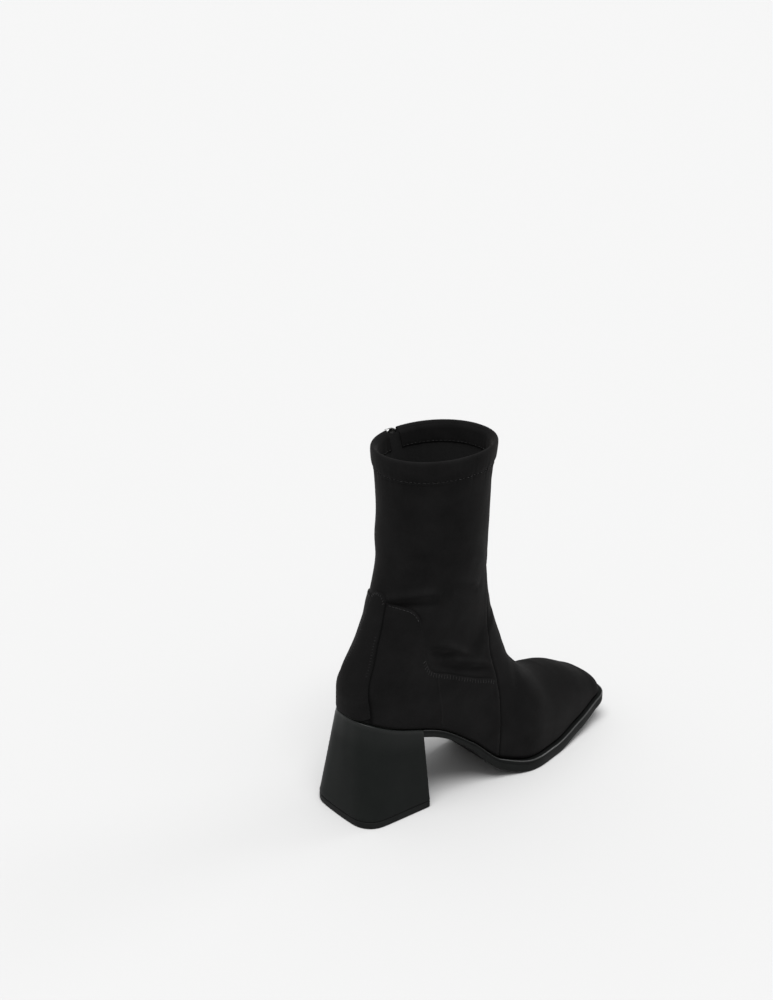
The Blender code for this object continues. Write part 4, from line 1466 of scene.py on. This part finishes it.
INSOLE_EDGE = (Rim(0.5, 0), Rim(0, 0.2), Rim(0, 0.75), Rim(0.3, 0.95), Rim(0.9, 1), Rim(2, 1))
INSOLE_CLEAR = 0.9
INSOLE_TOE = TOE_TIP - WALL - 3.5


def insole_top(x):
    return footbed(x) + INSOLE


insole_sides = []
for line in grown(foot_sides(INSOLE / 2), -WALL - INSOLE_CLEAR):
    line = even(line, SOLE_POINTS)
    insole_sides.append(even(line[line[:, 0] < INSOLE_TOE], SOLE_POINTS))
insole_levels = sole_levels(insole_sides, footbed, insole_top, INSOLE_EDGE)
two_sided("insole_sheet", insole_levels, INSOLE_LEATHER, ("insole",), sharp=SOFT_EDGE)

# Heel and top lift: outlines with rounded front corners, drawn between the floor and the seat
SIDE_POINTS = 80
CORNER_POINTS = 8
FACE_POINTS = 16
BEND_POINTS = 24
BACK_POINTS = 20
BREAST_ROUND = 1.4
SEAT_CLEAR = 0.1
EASE_ROUNDS = 24
SEAT_LEDGE = 1.3
BACK_BOW = 1.0


def eased(line):
    """A line whose bends run softly into its straight parts. Its start mirrors, and its end is kept."""
    for _ in range(EASE_ROUNDS):
        middle = (line[0, 0] + line[1, 0]) / 2
        line[1:-1] = (line[:-2] + 2 * line[1:-1] + line[2:]) / 4
        line[0, 0] = middle
    return line


def with_breast(line, middle):
    """A side of the heel's outline, carried round its front corner to the middle of the breast."""
    front = line[-1]
    sign = np.sign(front[1] - middle)
    side = eased(even(part_of(line, line[0, 0], front[0] - BREAST_ROUND), SIDE_POINTS))
    turn = np.linspace(0, math.pi / 2, CORNER_POINTS + 1)[1:]
    centre = (front[0] - BREAST_ROUND, side[-1, 1] - sign * BREAST_ROUND)
    corner = centre + BREAST_ROUND * np.column_stack([np.sin(turn), sign * np.cos(turn)])
    face_y = np.linspace(corner[-1, 1], middle, FACE_POINTS + 1)[1:]
    return np.vstack([side, corner, np.column_stack([np.full(FACE_POINTS, front[0]), face_y])])


def base_side(sign):
    """One side of the heel's base from the middle of its back to its front."""
    bend = np.linspace(0, math.pi / 2, BEND_POINTS)
    centre = HEEL_HALF - HEEL_CORNER
    across = np.linspace(0, centre, BACK_POINTS, endpoint=False)
    back = np.column_stack([np.full_like(across, HEEL_BACK), across])
    corner_x = HEEL_BACK + HEEL_CORNER * (1 - np.cos(bend))
    corner = np.column_stack([corner_x, centre + HEEL_CORNER * np.sin(bend)])
    line = np.vstack([back, corner, [(HEEL_FRONT, HEEL_HALF)]])
    line[:, 0] -= BACK_BOW * np.clip(1 - (line[:, 1] / centre) ** 2, 0, None) / 2 - BACK_BOW / 2
    return line * (1, sign)


def seat_side(line, sign):
    """One side of the heel seat, from the middle of its back to the breast."""
    start = np.array([[line[0, 0], 0.0]])
    kept = line[(line[:, 0] < BREAST - SEAT_CLEAR) & (sign * line[:, 1] > SEAT_CLEAR)]
    end_y = np.interp(BREAST, line[:, 0], line[:, 1])
    return np.vstack([start, kept, [(BREAST, end_y)]])


def heel_outline(lines):
    middle = (lines[0][-1, 1] + lines[1][-1, 1]) / 2
    return [with_breast(line, middle) for line in lines]


base_lines = heel_outline([base_side(-1), base_side(1)])
ledge = grown(feather, SEAT_LEDGE)
seat_lines = heel_outline([seat_side(ledge[0], -1), seat_side(ledge[1], 1)])


def heel_levels(profile, low):
    """Levels of the heel. profile has shares of its height, rises in millimetres and insets."""
    levels = []
    for share, rise, inset in profile:
        level = []
        for base, seat, sign in zip(base_lines, seat_lines, (1, -1)):
            line = base + (seat - base) * share
            along = np.gradient(line, axis=0)
            along[0] = (0, -sign)
            inward = -sign * unit(right_of(along))
            high = footbed(seat[:, 0]) - GAP
            z = low + (high - low) * share + rise
            level.append(np.column_stack([line + inward * inset, z]))
        levels.append(level)
    return levels


HeelRow = namedtuple("HeelRow", "share rise inset")
HEEL_FOOT = (
    HeelRow(0, 0, 3.0),
    HeelRow(0, 0, 0.6),
    HeelRow(0, 0.12, 0.28),
    HeelRow(0, 0.35, 0.08),
    HeelRow(0, 0.8, 0),
)
HEEL_WALL = tuple(HeelRow(share, 0, 0) for share in np.linspace(0.05, 0.95, 19))
HEEL_SEAT = (
    HeelRow(1, -1.1, 0),
    HeelRow(1, -0.7, 0.05),
    HeelRow(1, -0.3, 0.2),
    HeelRow(1, -0.08, 0.5),
    HeelRow(1, 0, 0.9),
    HeelRow(1, 0, 3.0),
)
HEEL_ROWS = HEEL_FOOT + HEEL_WALL + HEEL_SEAT

# The coat shines more towards the seat, and most on the seat's edge, whose rows count as SHINE_RIM further up
SHINE_RIM = 0.1
SHINE_PLACES = (0.72, 1.0, 1.0 + SHINE_RIM)
SHINE_SHARES = (0.0, 0.6, 1.0)
shine_places = [row.share + SHINE_RIM * (row.share == 1) for row in HEEL_ROWS]
heel_shine = np.interp(shine_places, SHINE_PLACES, SHINE_SHARES)
heel_shape = heel_levels(HEEL_ROWS, TOP_LIFT + GAP)
two_sided("heel_block_coated", heel_shape, HEEL_COAT, ("heel_block",), FIRM_EDGE, heel_shine)

LIFT_ROWS = (
    HeelRow(0, 0, 3.0),
    HeelRow(0, 0, 0.7),
    HeelRow(0, 0.15, 0.3),
    HeelRow(0, 0.5, 0.05),
    HeelRow(0, 1.0, 0),
    HeelRow(0, TOP_LIFT - 0.8, 0),
    HeelRow(0, TOP_LIFT - 0.3, 0.08),
    HeelRow(0, TOP_LIFT, 0.45),
    HeelRow(0, TOP_LIFT, 3.0),
)
two_sided("top_lift_worn", heel_levels(LIFT_ROWS, 0.0), RUBBER, ("top_lift",), sharp=FIRM_EDGE)

# Zip: woven tape, two rows of coil, folded edges and their stitching
TAPE_HALF = 7.0
TAPE_DEPTH = (-1.2, -0.75)
TAPE_COLUMNS = 15
zip_heights = np.interp(row_numbers, zipped, zip_line[:, 2])
slot_zip = np.flatnonzero(slot_rows & (zip_heights < TOP - ZIP_SHORT))
zip_lean = np.interp(row_numbers, zipped, 1 / np.maximum(slant, SLANT_LEAST))


def beside_zip(offsets, depth):
    """Points beside the zip's line, at distances across it and a height over the form, with ways out."""
    arcs = zip_middle[:, None] + zip_lean[:, None] * np.asarray(offsets, float)[None]
    made = rings.at(arcs)
    out = normals(made)
    return (made + out * depth)[slot_zip], out[slot_zip]


def zip_row(offset):
    """Points on the form at a distance across the zip's line, with ways out."""
    at, out = beside_zip((offset - 1, offset, offset + 1), 0.0)
    return at[:, 1], out[:, 1]


tape_across = np.linspace(-TAPE_HALF, TAPE_HALF, TAPE_COLUMNS)
tape_low, tape_high = (beside_zip(tape_across, depth)[0] for depth in TAPE_DEPTH)
tape_shape = tape_high.shape[:2]
numbers = np.arange(np.prod(tape_shape)).reshape(tape_shape)
tape_edges = (numbers[:, 0], numbers[-1, 1:], numbers[-2::-1, -1], numbers[0, -2:0:-1])
edge_loop = np.concatenate(tape_edges).tolist()
tape_faces = double_faces(*tape_shape)
for a, b in zip(edge_loop, edge_loop[1:] + edge_loop[:1]):
    tape_faces.append((a, b, b + numbers.size, a + numbers.size))
tape_points = np.concatenate([tape_high, tape_low])
piece("zip_tape_woven", tape_points, tape_faces, TAPE_CLOTH, ("zip_tape",), closed=True)

TOOTH_START = 1.0
middle_line, middle_out = zip_row(0)
run = run_along(middle_line)
tooth_places = np.arange(TOOTH_START, run[-1], TOOTH.pitch / 2)
tooth_at = sampled(middle_line, run, tooth_places)
tooth_out = unit(sampled(middle_out, run, tooth_places))
tooth_along = unit(np.gradient(tooth_at, axis=0))
tooth_across = unit(np.cross(tooth_along, tooth_out))
tooth_at += tooth_across * np.where(np.arange(len(tooth_at)) % 2, TOOTH.inset, -TOOTH.inset)[:, None]
capsules("zip_coil", tooth_at, tooth_across, tooth_out, TOOTH, COIL_NYLON, ("zip_chain",))


BEAD_SIDES = 10


def bead(name, line, out, radius, sink):
    """A round fold of suede along a line, sunk into what it lies on."""
    along = unit(np.gradient(line, axis=0))
    right = unit(np.cross(along, out))
    up = np.cross(right, along)
    angles = np.linspace(0, math.tau, BEAD_SIDES, endpoint=False)
    loops = [line + right * radius * math.cos(a) + up * (radius * math.sin(a) - sink) for a in angles]
    grid = np.stack(loops + loops[:1], axis=1)
    faces = grid_faces(*grid.shape[:2])
    for row in (0, len(line) - 1):
        faces.append([row * (BEAD_SIDES + 1) + k for k in range(BEAD_SIDES)])
    piece(name, grid, faces, SUEDE, sharp=FIRM_EDGE, closed=True)


FOLD_RADIUS = 0.75
FOLD_SINK = 0.25
FOLD_FOOT = 2.6
FOLD_ROWS = 4
edges = [np.hstack(zip_row(sign * ZIP_SLOT / 2)) for sign in (-1, 1)]
foot = (edges[0][0] + edges[1][0]) / 2
foot[:3] -= FOLD_FOOT * zip_way[0]
round_edge = resample(np.vstack([edges[0][::-FOLD_ROWS], foot, edges[1][1::FOLD_ROWS]]), 1.0)
bead("zip_fold", round_edge[:, :3], round_edge[:, 3:], FOLD_RADIUS, FOLD_SINK)

ZIP_STITCH_TOP = TOP - 19
RAY_START = 6.0
RAY_LENGTH = 9.0
zip_stitch_trees = (surface, panel_trees["medial"])
zip_stitch_lines = []
for sign in (-1, 1):
    line = []
    for p, n in zip(*zip_row(sign * (ZIP_SLOT / 2 + ZIP_STITCH.inset))):
        rays = [tree.ray_cast(p + RAY_START * n, -n, RAY_LENGTH) for tree in zip_stitch_trees]
        hits = [hit for hit in rays if hit[0] is not None]
        if hits and p[2] <= ZIP_STITCH_TOP:
            line.append(min(hits, key=lambda hit: hit[3])[:2])
    zip_stitch_lines.append(tuple(np.array(column) for column in zip(*line)))
stitches("zip_stitches", zip_stitch_lines, ZIP_STITCH)

# Slider and pull tab, counted from the pull's axis: along it, out of the boot, and up
pull_joint = frame["record"]["behaviour"]["joints"][0]
PULL_AT = (np.array(pull_joint["pos_m"]) - SHIFT) / MM
PULL_ALONG = unit(np.array(pull_joint["axis"], float))
PULL_WAYS = np.array((PULL_ALONG, (-PULL_ALONG[1], PULL_ALONG[0], 0), (0, 0, 1)))


def by_slider(points):
    return PULL_AT + np.asarray(points, float) @ PULL_WAYS


def looped(loops):
    """Faces between closed loops that follow each other, all of one length."""
    size = len(loops[0])
    return [
        (k * size + i, k * size + (i + 1) % size, (k + 1) * size + (i + 1) % size, (k + 1) * size + i)
        for k in range(len(loops) - 1)
        for i in range(size)
    ]


def capped(loops):
    """Faces between closed loops, and one over each end."""
    size, last = len(loops[0]), len(loops[0]) * (len(loops) - 1)
    return looped(loops) + [list(range(size)), [last + k for k in range(size)]]


SliderRow = namedtuple("SliderRow", "up half top")
SLIDER_ROWS = (
    SliderRow(-7.9, 2.4, -1.75),
    SliderRow(-7.7, 2.75, -1.4),
    SliderRow(-6.6, 3.0, -1.22),
    SliderRow(-4.0, 3.2, -1.2),
    SliderRow(-1.0, 3.5, -1.2),
    SliderRow(1.4, 3.6, -1.2),
    SliderRow(2.5, 3.3, -1.25),
    SliderRow(3.0, 2.9, -1.5),
    SliderRow(3.15, 2.4, -1.8),
)
FLANGE_LOW = -4.2
FLANGE = 0.7
FLANGE_CORNER = 0.15
PLATE = 1.0
SHOULDER = ((0.9, 0.05), (0.35, 0.16), (0.08, 0.4), (0, 0.75))


def slider_loop(row):
    """The slider's section at a level: a crowned plate with a flange down either side."""
    side, top, inner = row.half, row.top, row.half - FLANGE
    half = [(0, top)] + [(side - across, top - down) for across, down in SHOULDER]
    half += [(side, FLANGE_LOW + FLANGE_CORNER), (side - FLANGE_CORNER, FLANGE_LOW)]
    half += [(inner, FLANGE_LOW), (inner, top - PLATE)]
    return [(x, out, row.up) for x, out in half] + [(-x, out, row.up) for x, out in half[:0:-1]]


slider_loops = [slider_loop(row) for row in SLIDER_ROWS]
slider_points = by_slider(np.vstack(slider_loops))
piece("slider_body", slider_points, capped(slider_loops), METAL, ("zip_slider",), closed=True)

# Bridge: a strap bent over the slider, with the pull's bar under it
BRIDGE_HALF = (1.4, 0.55)
BRIDGE_ROUND = 3.2
BRIDGE_TOP = 1.75
BRIDGE_ENDS = (-6.35, 1.55)
BRIDGE_FOOT = -1.7
BRIDGE_BEND = 1.5
BRIDGE_BEND_POINTS = 9
BRIDGE_SIDES = 20
bend = np.linspace(0, math.pi / 2, BRIDGE_BEND_POINTS)
by_sine, by_cosine = BRIDGE_BEND * (1 - np.sin(bend)), BRIDGE_BEND * (1 - np.cos(bend))
low_end, high_end = BRIDGE_ENDS
bridge_path = np.vstack(
    [
        (BRIDGE_FOOT, low_end),
        np.column_stack([BRIDGE_TOP - by_sine, low_end + by_cosine]),
        np.column_stack([BRIDGE_TOP - by_cosine, high_end - by_sine]),
        (BRIDGE_FOOT, high_end),
    ]
)
bridge_way = unit(np.gradient(bridge_path, axis=0))
around = np.linspace(0, math.tau, BRIDGE_SIDES, endpoint=False)
swing = np.column_stack([np.cos(around), np.sin(around)])
strap = BRIDGE_HALF * np.sign(swing) * np.abs(swing) ** (2 / BRIDGE_ROUND)
bridge_loops = [
    [(x, out - way[1] * h, up + way[0] * h) for x, h in strap]
    for (out, up), way in zip(bridge_path, bridge_way)
]
bridge_points = by_slider(np.vstack(bridge_loops))
piece("slider_bridge", bridge_points, capped(bridge_loops), METAL, sharp=STRAP_EDGE, closed=True)

# Pull tab: a plate with a slot for the bridge and a sunk bare field, its edges rounded
Plate = namedtuple("Plate", "half low high low_round high_round")
TAB = Plate(3.8, -32.25, 0.75, 0.8, 1.2)
TAB_SLOT = Plate(1.9, -9.75, -0.75, 1.7, 0.8)
TAB_FIELD = Plate(2.9, -30.9, -11.4, 0.5, 0.5)
TAB_CORNER_POINTS = 7
TAB_EDGE = ((-0.3, 0.65), (-0.09, 0.56), (0, 0.35), (0, -0.35), (-0.09, -0.56), (-0.3, -0.65))
FIELD_EDGE = ((0, 0.65), (-0.06, 0.6), (-0.24, 0.42), (-0.34, 0.4))


def plate_loop(shape, grow, out):
    """A rounded outline of a plate at a level out, grown by a distance."""
    half, low, high = shape.half + grow, shape.low - grow, shape.high + grow
    low_round, high_round = shape.low_round + grow, shape.high_round + grow
    made = []
    corners = ((1, low, low_round), (1, high, high_round), (-1, high, high_round), (-1, low, low_round))
    for corner, (side, end, size) in enumerate(corners):
        inward = size if end == low else -size
        for t in np.linspace(0, math.pi / 2, TAB_CORNER_POINTS) + (corner - 1) * math.pi / 2:
            made.append((side * (half - size) + size * math.cos(t), out, end + inward + size * math.sin(t)))
    return made


tab_outer = [plate_loop(TAB, grow, out) for grow, out in TAB_EDGE]
tab_slot = [plate_loop(TAB_SLOT, -grow, out) for grow, out in TAB_EDGE]
tab_field = [plate_loop(TAB_FIELD, grow, out) for grow, out in FIELD_EDGE]
tab_points, tab_faces, tab_starts = [], [], []
for loops in (tab_outer, tab_slot, tab_field):
    tab_starts.append(len(tab_points))
    tab_faces += [[k + len(tab_points) for k in face] for face in looped(loops)]
    tab_points += [point for loop in loops for point in loop]
loop_size = len(tab_outer[0])
back_starts = [start + loop_size * (len(TAB_EDGE) - 1) for start in tab_starts[:2]]
field_start = tab_starts[2] + loop_size * (len(FIELD_EDGE) - 1)


def flat_loop(start):
    """The loop of the tab that starts at a point, seen from the front."""
    return [Vector((x, up, 0)) for x, _, up in tab_points[start : start + loop_size]]


for starts in (tab_starts, back_starts, [field_start]):
    numbers = [start + k for start in starts for k in range(loop_size)]
    triangles = tessellate_polygon([flat_loop(start) for start in starts])
    tab_faces += [[numbers[k] for k in triangle] for triangle in triangles]
pull_points = by_slider(tab_points)
piece("pull_tab", pull_points, tab_faces, METAL, ("zip_pull",), closed=True, body="pull")

# Floor, light and camera
FLOOR_HALF = 60.0
FLOOR_CORNERS = ((-1, -1), (1, -1), (1, 1), (-1, 1))
floor_mesh = bpy.data.meshes.new("floor")
floor_mesh.from_pydata([(x * FLOOR_HALF, y * FLOOR_HALF, 0) for x, y in FLOOR_CORNERS], [], [(0, 1, 2, 3)])
floor_paint, _, _ = material(
    "floor_paint",
    Base_Color=(0.45, 0.45, 0.45, 1),
    Roughness=0.9,
    Specular_IOR_Level=0.0,
)
floor_mesh.materials.append(floor_paint)
floor = placed("floor", floor_mesh)

# The sky is dim at the horizon and bright overhead: strengths low and high, and the heights between them
SKY = (0.2, 0.85, 0.12, 0.55)
world = bpy.data.worlds.new("studio")
bpy.context.scene.world = world
world.use_nodes = True
sky_tree = world.node_tree
sky_way = new_node(sky_tree, "TexCoord").outputs["Generated"]
sky_height = new_node(sky_tree, "SeparateXYZ", Vector=sky_way).outputs["Z"]
sky_light = spread(sky_tree, sky_height, *SKY)
wire(sky_tree, sky_tree.nodes["Background"], Color=(1.0, 1.0, 1.0, 1), Strength=sky_light)


def sun(name, azimuth, height, strength, angle):
    """A soft far light from an azimuth, from +X towards +Y, and a height over the floor, in degrees."""
    data = bpy.data.lights.new(name, "SUN")
    data.energy, data.angle = strength, math.radians(angle)
    made = placed(name, data)
    a, e = math.radians(azimuth), math.radians(height)
    back = Vector((math.cos(a) * math.cos(e), math.sin(a) * math.cos(e), math.sin(e)))
    made.rotation_mode = "QUATERNION"
    made.rotation_quaternion = back.to_track_quat("Z", "Y")


sun("overhead", azimuth=225, height=74, strength=3.93, angle=40)
sun("front_side", azimuth=-8, height=34, strength=0.5, angle=24)

PHOTO_HEIGHT = 1000
FOCAL_PIXELS = 1450.0
PHOTO_MIDDLE = np.array((386.5, 500.0))
PITCH = math.radians(20.588)
YAW = math.radians(38.278)
AIM = np.array((30.0, 0.0, 0.0))
AIM_PIXEL = np.array((378.500, 796.780))
PIXELS_PER_MM = 1.43737
SENSOR = 36.0
CLIP = (0.05, 500)
forward = np.array((math.sin(YAW) * math.cos(PITCH), math.cos(YAW) * math.cos(PITCH), -math.sin(PITCH)))
rightward = np.array((math.cos(YAW), -math.sin(YAW), 0.0))
upward = np.cross(rightward, forward)
off = (AIM_PIXEL - PHOTO_MIDDLE) / FOCAL_PIXELS
eye = AIM - FOCAL_PIXELS / PIXELS_PER_MM * (forward + rightward * off[0] - upward * off[1])
camera_data = bpy.data.cameras.new("camera")
camera_data.sensor_width = SENSOR
camera_data.lens = SENSOR * FOCAL_PIXELS / PHOTO_HEIGHT
camera_data.clip_start, camera_data.clip_end = CLIP
camera = placed("camera", camera_data)
turned = np.column_stack([rightward, upward, -forward, eye * MM + SHIFT])
camera.matrix_world = Matrix(np.vstack([turned, (0, 0, 0, 1)]).tolist())
bpy.context.scene.camera = camera
bpy.context.scene.view_settings.view_transform = "Standard"
